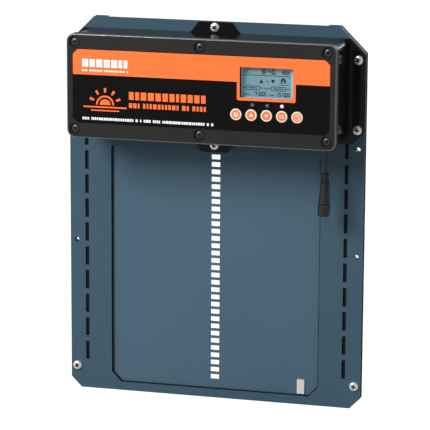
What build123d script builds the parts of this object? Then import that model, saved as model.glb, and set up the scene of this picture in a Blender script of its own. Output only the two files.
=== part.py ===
from build123d import *
import math
import os

# Automatic coop door: a sliding door panel in a framed doorway, lifted by a
# motor-driven pinion whose teeth run in a column of punched holes.
# +Z is up, +X is to the right for someone facing the door, and -Y points out
# of the wall. The origin is the middle of the four wall holes, on the wall face.
# "depth" is the distance in front of the wall, and "up(h)" turns a height above
# the frame's bottom edge into Z. All lengths are in millimetres.

# Frame
FRAME_W = 280.0
FRAME_H = 356.0
BOTTOM_CHAMFER = 10.0
TOP_CHAMFER = 24.0
REAR_T = 1.5
RAIL_T = 5.0
FRONT_T = 1.5
DOORWAY_W = 200.0
DOORWAY_BOTTOM = 8.0
DOORWAY_TOP = 236.5
DOORWAY_CHAMFER = 9.5
DOORWAY_TOP_R = 3.0
REAR_TOP_DROP = 5.0
RAIL_INSET = 0.5

# Wall holes and frame fasteners
HOLE_EDGE = 6.0
HOLE_ROW_H = 100.0
HOLE_LOW = 144.0
WALL_HOLE_D = 4.5
M4_CLEAR_D = 4.4
M4_SHANK_D = 3.9
M4_HEAD_D = 8.8
M4_HEAD_H = 2.6
FRAME_SCREW_UP = 21.4
NUT_D = 6.0
NUT_L = 3.0
NUT_BORE_D = 4.0
SCREW_TIP_GAP = 0.6

# Vent slots in the front sheet
SLOT_W = 3.5
SLOT_L = 17.8
SLOT_SPREAD_W = 247.5
SLOT_FIRST = 36.8
SLOT_PITCH = 23.0
SLOT_COUNT = 10

# Door panel and its rack of holes
DOOR_T = 1.5
DOOR_W = 216.0
DOOR_BOTTOM = 4.0
DOOR_TOP = 344.0
DOOR_CORNER_R = 3.0
DOOR_TRAVEL = 235.0
GROOVE_PLAY = 0.3
GROOVE_SIDE_PLAY = 0.6
RAIL_INNER_X = 104.0
DOORWAY_LIP = 0.8
RACK_PITCH = 7.0
RACK_HOLE_W = 8.3
RACK_HOLE_H = 4.6
RACK_FIRST = 19.4
RACK_TOP_EDGE = 7.0
MAGNET_X = 83.0
MAGNET_W = 7.0
MAGNET_H = 13.8
MAGNET_T = 1.2
MAGNET_BOTTOM = 9.6
SILL_GAP = 0.3

# Drive pinion
PINION_AIM_R = 20.0
AXLE_AIM = 292.0
PINION_W = 7.4
TOOTH_TIP_OUT = 1.85
TOOTH_ROOT_IN = 2.25
TOOTH_PLAY = 1.3
TOOTH_ROOT_EXTRA = 1.0
TOOTH_TIP_LESS = 1.4
HUB_D = 11.0
HUB_L = 13.0
SHAFT_D = 4.0
SHAFT_FIT = 0.05
PINION_WINDOW_PLAY = 1.8
SHAFT_TAIL = 3.0
SHAFT_GAP = 0.3
CLIP_D = 8.0
CLIP_T = 0.8
CLIP_GAP = 0.3

# Control housing
BASE_W = 249.0
BASE_BOTTOM = 253.5
BASE_TOP = 345.5
BASE_L = 46.0
BASE_WALL = 2.5
BASE_R = 7.0
FLANGE_T = 2.5
BASE_FOOT_R = 4.0
FLANGE_BOTTOM = 249.0
FLANGE_INSET = 0.6
FLANGE_CHAMFER = 11.0
FLANGE_SCREW_EDGE = 6.5
FLANGE_SCREW_UPS = (262.5, 326.5)
TAB_W_ROOT = 46.0
TAB_W_TOP = 31.0
TAB_RISE = 9.9
TAB_DROP = 18.5
LOW_TAB_W_ROOT = 50.0
LOW_TAB_W_END = 25.0
TAB_ROOT_R = 4.0
TAB_TOP_R = 2.5
TAB_SCREW_PROUD = 0.4
TOP_TAB_SCREW_RISE = 5.1
BOTTOM_TAB_SCREW_DROP = 12.0
LID_W = 250.0
LID_BOTTOM = 252.0
LID_TOP = 347.5
LID_L = 8.0
LID_WALL = 2.5
LID_R = 7.5
LID_EDGE_R = 1.5
GASKET_T = 1.0
GASKET_INSET = 0.9
LID_SCREW_X = 116.8
LID_SCREW_RISE = 39.7
LID_MID = 300.0
SCREW_RECESS_D = 10.8
SCREW_RECESS_L = 1.6
LID_SCREW_HEAD_D = 7.4
LID_SCREW_HEAD_H = 1.4
LID_POST_D = 9.8
BOSS_D = 9.2
BOSS_RIB_T = 2.0
BOSS_TIP_D = 6.0
M3_CLEAR_D = 3.4
M3_SHANK_D = 2.9
M3_PILOT_D = 2.9
M3_HEAD_D = 6.2
M3_HEAD_H = 1.8
LID_SCREW_BITE = 10.0

# Front panel: label, display, buttons and lights
LABEL_W = 238.0
LABEL_BOTTOM = 266.2
LABEL_TOP = 333.4
LABEL_CHAMFER = 4.5
LABEL_T = 0.35
LABEL_RECESS = 0.6
LABEL_PLAY = 0.2
LCD_X = 61.2
LCD_UP = 310.25
LCD_VIEW_W = 48.4
LCD_VIEW_H = 27.1
PANE_MARGIN = 2.0
PANE_T = 1.5
PANE_PLAY = 0.15
LCD_MODULE_W = 58.0
LCD_MODULE_H = 34.0
LCD_GAP = 3.0
BUTTON_UP = 281.0
BUTTON_FIRST_X = 33.6
BUTTON_SPACE = 3.6
BUTTON_NAMES = ("settings_button", "up_button", "down_button", "mode_button", "timer_button")
BUTTON_D = 10.4
BUTTON_PLAY = 0.3
BUTTON_PROUD = 0.5
BUTTON_RIM = 1.0
BUTTON_FLANGE_T = 1.0
BUTTON_STEM_D = 3.2
BUTTON_TRAVEL = 0.4
BUTTON_OVERRUN = 0.5
BUTTON_SEAT_GAP = 0.2
BUTTON_BEVEL = 0.3
LIGHT_XS = (48.6, 62.2, 75.7)
LIGHT_UP = 290.3
LIGHT_D = 3.0
LIGHT_PLAY = 0.1
LIGHT_PROUD = 0.3

# Circuit board
BOARD_X = 61.7
BOARD_UP = 300.0
BOARD_W = 92.0
BOARD_H = 66.0
BOARD_T = 1.6
BOARD_SETBACK = 0.5
BOARD_POST_D = 6.0
BOARD_SCREW_DX = 42.0
BOARD_SCREW_DZ = 29.0
BOARD_HOLE_D = 2.8
BOARD_PILOT_D = 2.4
BOARD_SCREW_D = 2.3
BOARD_SCREW_BITE = 5.0
BOARD_SCREW_HEAD_D = 4.8
BOARD_SCREW_HEAD_H = 1.6
SWITCH_SIZE = 6.0
SWITCH_H = 3.4
SWITCH_BORE_D = 3.8
SWITCH_BORE_L = 1.6

# Gearmotor and its bracket
GEARBOX_D = 25.0
GEARBOX_L = 24.0
MOTOR_D = 24.0
MOTOR_L = 31.0
MOTOR_NECK_D = 10.0
MOTOR_NECK_L = 2.0
BRACKET_X = 9.5
BRACKET_T = 2.0
BRACKET_H = 44.0
BRACKET_W = 28.0
BRACKET_FOOT_L = 14.0
BRACKET_FOOT_H = 9.0
FACE_SCREW_R = 8.5
BUSH_D = 8.0
BUSH_L = 4.0
BUSH_X = -12.0
SUPPORT_W = 15.0
SHAFT_IN_BOX = 6.0
BRACKET_PLAY = 1.0
FACE_SCREW_BITE = 5.0

# Battery holder
TRAY_X = -76.0
CELL_D = 14.2
CELL_L = 49.0
CELL_COUNT = 4
CELL_SPACE_X = 1.2
TRAY_WALL = 1.5
TRAY_END = 4.0
TRAY_H = 15.0
NUB_D = 5.4
NUB_L = 1.0
SPRING_L = 3.0
SPRING_D = 9.0
SPRING_TAPER = 30.0

# Position sensor on the back wall of the housing
SENSOR_W = 7.0
SENSOR_H = 14.0
SENSOR_T = 4.0
SENSOR_UP = 265.0

# Supply cable: its route, from inside the gland down to the inline socket.
# Heights are above the frame's bottom edge.
CABLE_D = 2.8
CABLE_ROUTE = (
    (109.4, 33.1, 257.6),
    (109.4, 33.1, 247.2),
    (110.0, 33.4, 236.0),
    (109.6, 33.1, 225.5),
)
GLAND_D = 5.6
GLAND_FLANGE_D = 8.0
GLAND_FLANGE_T = 1.2
GLAND_TAIL = 1.3
RELIEF_L = 8.6
RELIEF_RIBS = 4
RELIEF_D_TOP = 5.0
RELIEF_D_LOW = 7.6
RELIEF_RING_D = 7.2
RELIEF_RING_T = 2.2
SOCKET_NECK_D = 8.0
SOCKET_BODY_D = 10.4
SOCKET_BODY_L = 18.6
SOCKET_BARREL_D = 11.0
SOCKET_BARREL_L = 11.6
SOCKET_BORE_D = 6.4
SOCKET_BORE_L = 9.0
SOCKET_PIN_D = 2.1
SOCKET_EDGE = 0.6

# Smallest length that counts when corners are matched
TINY = 0.01

# Sizes that follow
HOLE_SPREAD_W = FRAME_W - 2 * HOLE_EDGE
FLANGE_SCREW_SPREAD = FRAME_W - 2 * FLANGE_SCREW_EDGE
STACK = REAR_T + RAIL_T + FRONT_T
RAIL_FRONT = REAR_T + RAIL_T
DOOR_MID = REAR_T + RAIL_T / 2
DOOR_FRONT = DOOR_MID + DOOR_T / 2
FRAME_BOTTOM = -(HOLE_LOW + HOLE_ROW_H / 2)
TEETH = round(2 * math.pi * PINION_AIM_R / RACK_PITCH)
PITCH_R = TEETH * RACK_PITCH / (2 * math.pi)
TIP_R = PITCH_R + TOOTH_TIP_OUT
ROOT_R = PITCH_R - TOOTH_ROOT_IN
AXLE_DEPTH = DOOR_MID + PITCH_R
AXLE_UP = RACK_FIRST + round((AXLE_AIM - RACK_FIRST) / RACK_PITCH) * RACK_PITCH
RACK_COUNT = 1 + int((DOOR_TOP - RACK_TOP_EDGE - RACK_FIRST) / RACK_PITCH)
TOOTH_PITCH_T = RACK_HOLE_H - TOOTH_PLAY
TOOTH_ROOT_T = TOOTH_PITCH_T + TOOTH_ROOT_EXTRA
TOOTH_TIP_T = TOOTH_PITCH_T - TOOTH_TIP_LESS
BASE_FRONT = STACK + BASE_L
BASE_FLOOR = STACK + BASE_WALL
BASE_H = BASE_TOP - BASE_BOTTOM
TAB_TOP = BASE_TOP + TAB_RISE
TAB_BOTTOM = BASE_BOTTOM - TAB_DROP
LID_BACK = BASE_FRONT + GASKET_T
LID_FRONT = LID_BACK + LID_L
LID_INSIDE = LID_FRONT - LID_WALL
BOARD_FRONT = LID_BACK - BOARD_SETBACK
BUTTON_PITCH = BUTTON_D + BUTTON_SPACE
BUTTON_FLANGE_D = BUTTON_D + 2 * BUTTON_RIM
CELL_PITCH = CELL_D + CELL_SPACE_X
LID_H = LID_TOP - LID_BOTTOM
LABEL_FLOOR = LID_FRONT - LABEL_RECESS
LABEL_FRONT = LABEL_FLOOR + LABEL_T
LABEL_H = LABEL_TOP - LABEL_BOTTOM
LABEL_UP = (LABEL_TOP + LABEL_BOTTOM) / 2


def up(height):
    """Z of a height above the frame's bottom edge."""
    return FRAME_BOTTOM + height


def facing(depth):
    """Plane parallel to the wall, that far in front of it. Local axes are X and Z."""
    return Plane.XZ.offset(depth)


def side_pair(spread, *heights):
    """Points left and right of the middle at each height."""
    return [(side * spread / 2, up(h)) for h in heights for side in (-1, 1)]


WALL_HOLES = side_pair(HOLE_SPREAD_W, HOLE_LOW, HOLE_LOW + HOLE_ROW_H)
FRAME_SCREWS = side_pair(HOLE_SPREAD_W, FRAME_SCREW_UP)
FLANGE_SCREWS = side_pair(FLANGE_SCREW_SPREAD, *FLANGE_SCREW_UPS)
TAB_SCREWS = [(0, up(BASE_TOP + TOP_TAB_SCREW_RISE)), (0, up(BASE_BOTTOM - BOTTOM_TAB_SCREW_DROP))]
NUT_PLACES = FRAME_SCREWS + FLANGE_SCREWS
LID_SCREWS = [(x, up(LID_MID + s * LID_SCREW_RISE)) for x in (-LID_SCREW_X, 0, LID_SCREW_X) for s in (-1, 1)]
BOARD_SCREWS = [
    (BOARD_X + a * BOARD_SCREW_DX, up(BOARD_UP + b * BOARD_SCREW_DZ)) for a in (-1, 1) for b in (-1, 1)
]
BUTTON_XS = [BUTTON_FIRST_X + i * BUTTON_PITCH for i in range(len(BUTTON_NAMES))]
LIGHTS = [(x, up(LIGHT_UP)) for x in LIGHT_XS]


def finish(piece, name):
    """Label a finished piece and write it."""
    piece.part.label = name
    export_step(piece.part, "parts/" + name + ".step")


def frame_outline(inset=0.0):
    """Corner points of the frame's outline, pulled in by inset."""
    half = FRAME_W / 2 - inset
    low = up(inset)
    high = up(FRAME_H - inset)
    diagonal = inset * (math.sqrt(2) - 1)
    bottom = BOTTOM_CHAMFER - inset + diagonal
    top = TOP_CHAMFER - inset + diagonal
    right = [
        (half - bottom, low),
        (half, low + bottom),
        (half, high - top),
        (half - top, high),
    ]
    return right + [(-x, z) for x, z in reversed(right)]


def doorway(inset=0.0):
    """Corner points of the doorway cut through both sheets, pulled in by inset."""
    half = DOORWAY_W / 2 - inset
    low = up(DOORWAY_BOTTOM + inset)
    corner = DOORWAY_CHAMFER - inset * (2 - math.sqrt(2))
    right = [
        (half - corner, low),
        (half, low + corner),
        (half, up(DOORWAY_TOP)),
    ]
    return right + [(-x, z) for x, z in reversed(right)]


def window_half(depth):
    """Half the height of the gap the pinion needs at that depth."""
    reach = AXLE_DEPTH - depth
    return math.sqrt(TIP_R**2 - reach**2) + PINION_WINDOW_PLAY


def pan_screws(places, seat, reach, head_d, head_h, shank_d):
    """Pan-head cross-recess screws, one solid at each place, pointing at the wall."""
    with BuildPart() as screws:
        with BuildSketch(facing(seat)):
            with Locations(*places):
                Circle(head_d / 2)
        extrude(amount=head_h)
        chamfer(edges().group_by(Axis.Y)[0], length=head_h * 0.45, length2=head_h * 0.6)
        with BuildSketch(facing(seat)):
            with Locations(*places):
                Circle(shank_d / 2)
        extrude(amount=-reach)
        with BuildSketch(facing(seat + head_h)):
            with Locations(*places):
                Rectangle(head_d * 0.52, head_d * 0.13)
                Rectangle(head_d * 0.13, head_d * 0.52)
        extrude(amount=-head_h * 0.55, mode=Mode.SUBTRACT)
    return screws


os.makedirs("parts", exist_ok=True)


# ------------------------------------------------------------ front and rear sheets
with BuildPart() as front_frame:
    with BuildSketch(facing(RAIL_FRONT)):
        Polygon(*frame_outline(), align=None)
    extrude(amount=FRONT_T)
    with BuildSketch(facing(RAIL_FRONT)):
        Polygon(*doorway(), align=None)
        fillet(vertices().group_by(Axis.Y)[-1], DOORWAY_TOP_R)
        with Locations((0, up(AXLE_UP))):
            Rectangle(PINION_W + 2 * PINION_WINDOW_PLAY, 2 * window_half(STACK))
        with Locations(*side_pair(SLOT_SPREAD_W, *[SLOT_FIRST + i * SLOT_PITCH for i in range(SLOT_COUNT)])):
            Rectangle(SLOT_W, SLOT_L)
        with Locations(*WALL_HOLES):
            Circle(WALL_HOLE_D / 2)
        with Locations(*NUT_PLACES, *TAB_SCREWS):
            Circle(M4_CLEAR_D / 2)
    extrude(amount=FRONT_T, mode=Mode.SUBTRACT)
finish(front_frame, "front_frame")

with BuildPart() as rear_frame:
    with BuildSketch(facing(0)):
        Polygon(*frame_outline(), align=None)
        with Locations((0, up(FRAME_H))):
            Rectangle(2 * RAIL_INNER_X, 2 * REAR_TOP_DROP, mode=Mode.SUBTRACT)
    extrude(amount=REAR_T)
    with BuildSketch(facing(0)):
        Polygon(*doorway(), align=None)
        fillet(vertices().group_by(Axis.Y)[-1], DOORWAY_TOP_R)
        with Locations(*WALL_HOLES):
            Circle(WALL_HOLE_D / 2)
        with Locations(*NUT_PLACES):
            Circle(NUT_D / 2)
    extrude(amount=REAR_T, mode=Mode.SUBTRACT)
finish(rear_frame, "rear_frame")

# ------------------------------------------------------------ guide rails and sill
LIP_X, LIP_UP = doorway(DOORWAY_LIP)[1]
LIP_T = RAIL_FRONT - DOOR_FRONT - GROOVE_PLAY

for side, name in ((-1, "guide_rail_left"), (1, "guide_rail_right")):
    with BuildPart() as guide_rail:
        with BuildSketch(facing(REAR_T)):
            Polygon(*frame_outline(RAIL_INSET), align=None)
            with Locations((side * (RAIL_INNER_X - FRAME_W / 2), up(FRAME_H / 2))):
                Rectangle(FRAME_W, FRAME_H, mode=Mode.SUBTRACT)
            with Locations(*WALL_HOLES):
                Circle(WALL_HOLE_D / 2, mode=Mode.SUBTRACT)
            with Locations(*NUT_PLACES):
                Circle(M4_CLEAR_D / 2, mode=Mode.SUBTRACT)
        extrude(amount=RAIL_T)
        # The groove the door panel's edge runs in, open at the top.
        with BuildSketch(facing(DOOR_MID - DOOR_T / 2 - GROOVE_PLAY)):
            with Locations((0, up(FRAME_H / 2 + DOOR_BOTTOM - SILL_GAP))):
                Rectangle(DOOR_W + 2 * GROOVE_SIDE_PLAY, FRAME_H)
        extrude(amount=DOOR_T + 2 * GROOVE_PLAY, mode=Mode.SUBTRACT)
        # Pockets for the nuts' collars in the rear face.
        with BuildSketch(facing(REAR_T)):
            with Locations(*NUT_PLACES):
                Circle(NUT_D / 2 + GROOVE_PLAY)
        extrude(amount=NUT_L - REAR_T, mode=Mode.SUBTRACT)
        # The thin lip that shows inside the doorway's edge.
        with BuildSketch(facing(RAIL_FRONT)):
            Polygon(
                (side * LIP_X, LIP_UP),
                (side * RAIL_INNER_X, LIP_UP),
                (side * RAIL_INNER_X, up(FRAME_H - RAIL_INSET)),
                (side * LIP_X, up(FRAME_H - RAIL_INSET)),
                align=None,
            )
        extrude(amount=-LIP_T)
    finish(guide_rail, name)

with BuildPart() as sill_bar:
    with BuildSketch(facing(REAR_T)):
        with Locations((0, up(RAIL_INSET))):
            Rectangle(2 * RAIL_INNER_X, DOOR_BOTTOM - SILL_GAP - RAIL_INSET, align=(Align.CENTER, Align.MIN))
    extrude(amount=RAIL_T)
    # The upstand before the door's bottom edge, with the doorway's cut corners.
    with BuildSketch(facing(RAIL_FRONT)):
        Polygon(
            (-RAIL_INNER_X, up(RAIL_INSET)),
            (RAIL_INNER_X, up(RAIL_INSET)),
            (RAIL_INNER_X, LIP_UP),
            (-RAIL_INNER_X, LIP_UP),
            align=None,
        )
        Polygon(*doorway(DOORWAY_LIP), align=None, mode=Mode.SUBTRACT)
    extrude(amount=-LIP_T)
finish(sill_bar, "sill_bar")

# ------------------------------------------------------------ frame fasteners
frame_screws = pan_screws(FRAME_SCREWS, STACK, STACK - SCREW_TIP_GAP, M4_HEAD_D, M4_HEAD_H, M4_SHANK_D)
finish(frame_screws, "frame_screws")

with BuildPart() as press_nuts:
    with BuildSketch(facing(0)):
        with Locations(*NUT_PLACES):
            Circle(NUT_D / 2)
            Circle(NUT_BORE_D / 2, mode=Mode.SUBTRACT)
    extrude(amount=NUT_L)
finish(press_nuts, "press_nuts")

# ------------------------------------------------------------ door panel
with BuildPart() as door_panel:
    with BuildSketch(facing(DOOR_MID - DOOR_T / 2)):
        with Locations((0, up(DOOR_BOTTOM))):
            Rectangle(DOOR_W, DOOR_TOP - DOOR_BOTTOM, align=(Align.CENTER, Align.MIN))
        fillet(vertices(), DOOR_CORNER_R)
        with Locations((0, up(RACK_FIRST + (RACK_COUNT - 1) * RACK_PITCH / 2))):
            with GridLocations(1, RACK_PITCH, 1, RACK_COUNT):
                Rectangle(RACK_HOLE_W, RACK_HOLE_H, mode=Mode.SUBTRACT)
    extrude(amount=DOOR_T)
finish(door_panel, "door_panel")

with BuildPart() as door_magnet:
    with BuildSketch(facing(DOOR_FRONT)):
        with Locations((MAGNET_X, up(MAGNET_BOTTOM))):
            Rectangle(MAGNET_W, MAGNET_H, align=(Align.CENTER, Align.MIN))
    extrude(amount=MAGNET_T)
finish(door_magnet, "door_magnet")

# ------------------------------------------------------------ drive pinion and shaft
AXLE = Plane(origin=(0, -AXLE_DEPTH, up(AXLE_UP)), x_dir=(0, 1, 0), z_dir=(1, 0, 0))

with BuildPart() as drive_pinion:
    with BuildSketch(AXLE.offset(-PINION_W / 2)):
        Circle(ROOT_R)
        with PolarLocations(0, TEETH):
            Polygon(
                (ROOT_R - TOOTH_TIP_OUT, -TOOTH_ROOT_T / 2),
                (PITCH_R, -TOOTH_PITCH_T / 2),
                (TIP_R, -TOOTH_TIP_T / 2),
                (TIP_R, TOOTH_TIP_T / 2),
                (PITCH_R, TOOTH_PITCH_T / 2),
                (ROOT_R - TOOTH_TIP_OUT, TOOTH_ROOT_T / 2),
                align=None,
            )
    extrude(amount=PINION_W)
    with BuildSketch(AXLE.offset(-HUB_L / 2)):
        Circle(HUB_D / 2)
    extrude(amount=HUB_L)
    with BuildSketch(AXLE.offset(-HUB_L / 2)):
        Circle(SHAFT_D / 2)
    extrude(amount=HUB_L, mode=Mode.SUBTRACT)
    with BuildSketch(AXLE.offset(-PINION_W / 2)):
        with PolarLocations((HUB_D / 2 + ROOT_R) / 2, 6):
            Circle((ROOT_R - HUB_D / 2) * 0.32)
    extrude(amount=PINION_W, mode=Mode.SUBTRACT)
finish(drive_pinion, "drive_pinion")

with BuildPart() as pinion_shaft:
    with BuildSketch(AXLE.offset(BUSH_X - BUSH_L / 2 - SHAFT_TAIL)):
        Circle(SHAFT_D / 2)
    extrude(amount=BRACKET_X + BRACKET_T + SHAFT_IN_BOX - SHAFT_GAP - (BUSH_X - BUSH_L / 2 - SHAFT_TAIL))
finish(pinion_shaft, "pinion_shaft")

with BuildPart() as shaft_clip:
    with BuildSketch(AXLE.offset(BUSH_X - BUSH_L / 2 - CLIP_GAP - CLIP_T)):
        Circle(CLIP_D / 2)
        Circle(SHAFT_D / 2, mode=Mode.SUBTRACT)
        with Locations((-CLIP_D / 2, 0)):
            Rectangle(CLIP_D, SHAFT_D * 0.7, mode=Mode.SUBTRACT)
    extrude(amount=CLIP_T)
finish(shaft_clip, "shaft_clip")

with BuildPart() as shaft_bush:
    with BuildSketch(AXLE.offset(BUSH_X - BUSH_L / 2)):
        Circle(BUSH_D / 2)
        Circle(SHAFT_D / 2 + SHAFT_FIT, mode=Mode.SUBTRACT)
    extrude(amount=BUSH_L)
finish(shaft_bush, "shaft_bush")

# ------------------------------------------------------------ gearmotor on its bracket
GEARBOX_X = BRACKET_X + BRACKET_T
FOOT_UPS = [AXLE_UP + s * (BRACKET_H - BRACKET_FOOT_H) / 2 for s in (-1, 1)]
FOOT_X = GEARBOX_X + BRACKET_FOOT_L / 2

with BuildPart() as motor_bracket:
    with BuildSketch(facing(BASE_FLOOR)):
        with Locations((BRACKET_X, up(AXLE_UP))):
            Rectangle(BRACKET_T, BRACKET_H, align=(Align.MIN, Align.CENTER))
    extrude(amount=BRACKET_W)
    with BuildSketch(facing(BASE_FLOOR)):
        with Locations(*[(BRACKET_X, up(h)) for h in FOOT_UPS]):
            Rectangle(BRACKET_T + BRACKET_FOOT_L, BRACKET_FOOT_H, align=(Align.MIN, Align.CENTER))
    extrude(amount=BRACKET_T)
    with BuildSketch(AXLE.offset(BRACKET_X)):
        Circle(SHAFT_D / 2 + BRACKET_PLAY)
        with Locations((0, FACE_SCREW_R), (0, -FACE_SCREW_R)):
            Circle(M3_CLEAR_D / 2)
    extrude(amount=BRACKET_T, mode=Mode.SUBTRACT)
    with BuildSketch(facing(BASE_FLOOR)):
        with Locations(*[(FOOT_X, up(h)) for h in FOOT_UPS]):
            Circle(M3_CLEAR_D / 2)
    extrude(amount=BRACKET_T, mode=Mode.SUBTRACT)
finish(motor_bracket, "motor_bracket")

with BuildPart() as gearbox:
    with BuildSketch(AXLE.offset(GEARBOX_X)):
        Circle(GEARBOX_D / 2)
    extrude(amount=GEARBOX_L)
    with BuildSketch(AXLE.offset(GEARBOX_X)):
        Circle(SHAFT_D / 2 + SHAFT_FIT)
    extrude(amount=SHAFT_IN_BOX, mode=Mode.SUBTRACT)
    with BuildSketch(AXLE.offset(GEARBOX_X)):
        with Locations((0, FACE_SCREW_R), (0, -FACE_SCREW_R)):
            Circle(M3_PILOT_D / 2)
    extrude(amount=FACE_SCREW_BITE, mode=Mode.SUBTRACT)
finish(gearbox, "gearbox")

with BuildPart() as motor:
    with BuildSketch(AXLE.offset(GEARBOX_X + GEARBOX_L)):
        Circle(MOTOR_D / 2)
    extrude(amount=MOTOR_L)
    with BuildSketch(AXLE.offset(GEARBOX_X + GEARBOX_L + MOTOR_L)):
        Circle(MOTOR_NECK_D / 2)
    extrude(amount=MOTOR_NECK_L)
finish(motor, "motor")

with BuildPart() as gearbox_screws:
    with BuildSketch(AXLE.offset(BRACKET_X - M3_HEAD_H)):
        with Locations((0, FACE_SCREW_R), (0, -FACE_SCREW_R)):
            Circle(M3_HEAD_D / 2)
    extrude(amount=M3_HEAD_H)
    with BuildSketch(AXLE.offset(BRACKET_X)):
        with Locations((0, FACE_SCREW_R), (0, -FACE_SCREW_R)):
            Circle(M3_SHANK_D / 2)
    extrude(amount=BRACKET_T + FACE_SCREW_BITE - SCREW_TIP_GAP)
finish(gearbox_screws, "gearbox_screws")

bracket_screws = pan_screws(
    [(FOOT_X, up(h)) for h in FOOT_UPS],
    BASE_FLOOR + BRACKET_T,
    BRACKET_T + BASE_WALL - SCREW_TIP_GAP,
    M3_HEAD_D,
    M3_HEAD_H,
    M3_SHANK_D,
)
finish(bracket_screws, "bracket_screws")

# ------------------------------------------------------------ housing base
with BuildPart() as housing_base:
    # Flange over the frame's edges, with a screw tab above and below.
    with BuildSketch(facing(STACK)):
        Polygon(*frame_outline(FLANGE_INSET), align=None)
        with Locations((0, up(FLANGE_BOTTOM))):
            Rectangle(FRAME_W, FRAME_H, align=(Align.CENTER, Align.MAX), mode=Mode.SUBTRACT)
        with Locations((0, up(BASE_TOP))):
            Rectangle(FRAME_W, FRAME_H, align=(Align.CENTER, Align.MIN), mode=Mode.SUBTRACT)
        chamfer(vertices().group_by(Axis.Y)[0], FLANGE_CHAMFER)
        tab = [(TAB_W_ROOT / 2, up(BASE_TOP)), (TAB_W_TOP / 2, up(TAB_TOP))]
        Polygon(*tab, *[(-x, z) for x, z in reversed(tab)], align=None)
        fillet(vertices().filter_by(lambda v: abs(abs(v.X) - TAB_W_ROOT / 2) < TINY), TAB_ROOT_R)
        fillet(vertices().group_by(Axis.Y)[-1], TAB_TOP_R)
        low_tab = [(LOW_TAB_W_ROOT / 2, up(BASE_BOTTOM)), (LOW_TAB_W_END / 2, up(TAB_BOTTOM))]
        Polygon(*low_tab, *[(-x, z) for x, z in reversed(low_tab)], align=None)
        fillet(vertices().group_by(Axis.Y)[0], TAB_TOP_R)
    extrude(amount=FLANGE_T)
    with BuildSketch(facing(STACK)):
        with Locations((0, up(BASE_BOTTOM))):
            RectangleRounded(BASE_W, BASE_H, BASE_R, align=(Align.CENTER, Align.MIN))
    extrude(amount=BASE_L)
    # Hollow-rounded feet where the side walls meet the flange.
    with BuildSketch(Plane.XY.offset(up(BASE_BOTTOM + BASE_R))):
        for side in (-1, 1):
            with Locations((side * BASE_W / 2, -STACK - FLANGE_T)):
                Rectangle(2 * BASE_FOOT_R, BASE_FOOT_R, align=(Align.CENTER, Align.MAX))
            with Locations((side * (BASE_W / 2 + BASE_FOOT_R), -STACK - FLANGE_T - BASE_FOOT_R)):
                Circle(BASE_FOOT_R, mode=Mode.SUBTRACT)
    extrude(amount=BASE_H - 2 * BASE_R)
    with BuildSketch(facing(BASE_FLOOR)):
        with Locations((0, up(BASE_BOTTOM + BASE_WALL))):
            RectangleRounded(
                BASE_W - 2 * BASE_WALL,
                BASE_H - 2 * BASE_WALL,
                BASE_R - BASE_WALL,
                align=(Align.CENTER, Align.MIN),
            )
    extrude(amount=BASE_L - BASE_WALL, mode=Mode.SUBTRACT)
    # Bosses for the lid's screws, the outer ones tied to the side walls by ribs.
    with BuildSketch(facing(BASE_FLOOR)):
        with Locations(*LID_SCREWS):
            Circle(BOSS_D / 2)
        with Locations(*[(x, z) for x, z in LID_SCREWS if x]):
            Rectangle(2 * (BASE_W / 2 - BASE_WALL / 2 - LID_SCREW_X), BOSS_RIB_T)
    extrude(amount=BASE_L - BASE_WALL)
    with BuildSketch(facing(BASE_FRONT)):
        with Locations(*LID_SCREWS):
            Circle(BOSS_TIP_D / 2)
    extrude(amount=GASKET_T)
    with BuildSketch(facing(LID_BACK)):
        with Locations(*LID_SCREWS):
            Circle(M3_PILOT_D / 2)
    extrude(amount=-LID_SCREW_BITE, mode=Mode.SUBTRACT)
    # Post that carries the far end of the pinion's shaft.
    with BuildSketch(AXLE.offset(BUSH_X - BUSH_L / 2)):
        Circle(SUPPORT_W / 2)
        Rectangle(PITCH_R, SUPPORT_W, align=(Align.MIN, Align.CENTER))
        with Locations((AXLE_DEPTH - BASE_FLOOR, 0)):
            Rectangle(PITCH_R, 2 * SUPPORT_W, align=(Align.MIN, Align.CENTER), mode=Mode.SUBTRACT)
        Circle(BUSH_D / 2, mode=Mode.SUBTRACT)
    extrude(amount=BUSH_L)
    # Gap for the pinion, screw holes and the gland's hole.
    with BuildSketch(facing(STACK)):
        with Locations((0, up(AXLE_UP))):
            Rectangle(PINION_W + 2 * PINION_WINDOW_PLAY, 2 * window_half(BASE_FLOOR))
        with Locations(*FLANGE_SCREWS, *TAB_SCREWS):
            Circle(M4_CLEAR_D / 2)
        with Locations(*[(FOOT_X, up(h)) for h in FOOT_UPS]):
            Circle(M3_PILOT_D / 2)
    extrude(amount=BASE_WALL, mode=Mode.SUBTRACT)
    with BuildSketch(Plane.XY.offset(up(BASE_BOTTOM))):
        with Locations((CABLE_ROUTE[0][0], -CABLE_ROUTE[0][1])):
            Circle(GLAND_D / 2)
    extrude(amount=BASE_WALL, mode=Mode.SUBTRACT)
finish(housing_base, "housing_base")

with BuildPart() as housing_gasket:
    with BuildSketch(facing(BASE_FRONT)):
        with Locations((0, up((BASE_TOP + BASE_BOTTOM) / 2))):
            RectangleRounded(BASE_W - 2 * GASKET_INSET, BASE_H - 2 * GASKET_INSET, BASE_R - GASKET_INSET)
            RectangleRounded(
                BASE_W - 2 * BASE_WALL, BASE_H - 2 * BASE_WALL, BASE_R - BASE_WALL, mode=Mode.SUBTRACT
            )
    extrude(amount=GASKET_T)
finish(housing_gasket, "housing_gasket")

flange_screws = pan_screws(
    FLANGE_SCREWS, STACK + FLANGE_T, STACK + FLANGE_T - SCREW_TIP_GAP, M4_HEAD_D, M4_HEAD_H, M4_SHANK_D
)
finish(flange_screws, "flange_screws")

tab_screws = pan_screws(
    TAB_SCREWS, STACK + FLANGE_T, FLANGE_T + FRONT_T + TAB_SCREW_PROUD, M4_HEAD_D, M4_HEAD_H, M4_SHANK_D
)
finish(tab_screws, "tab_screws")

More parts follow.
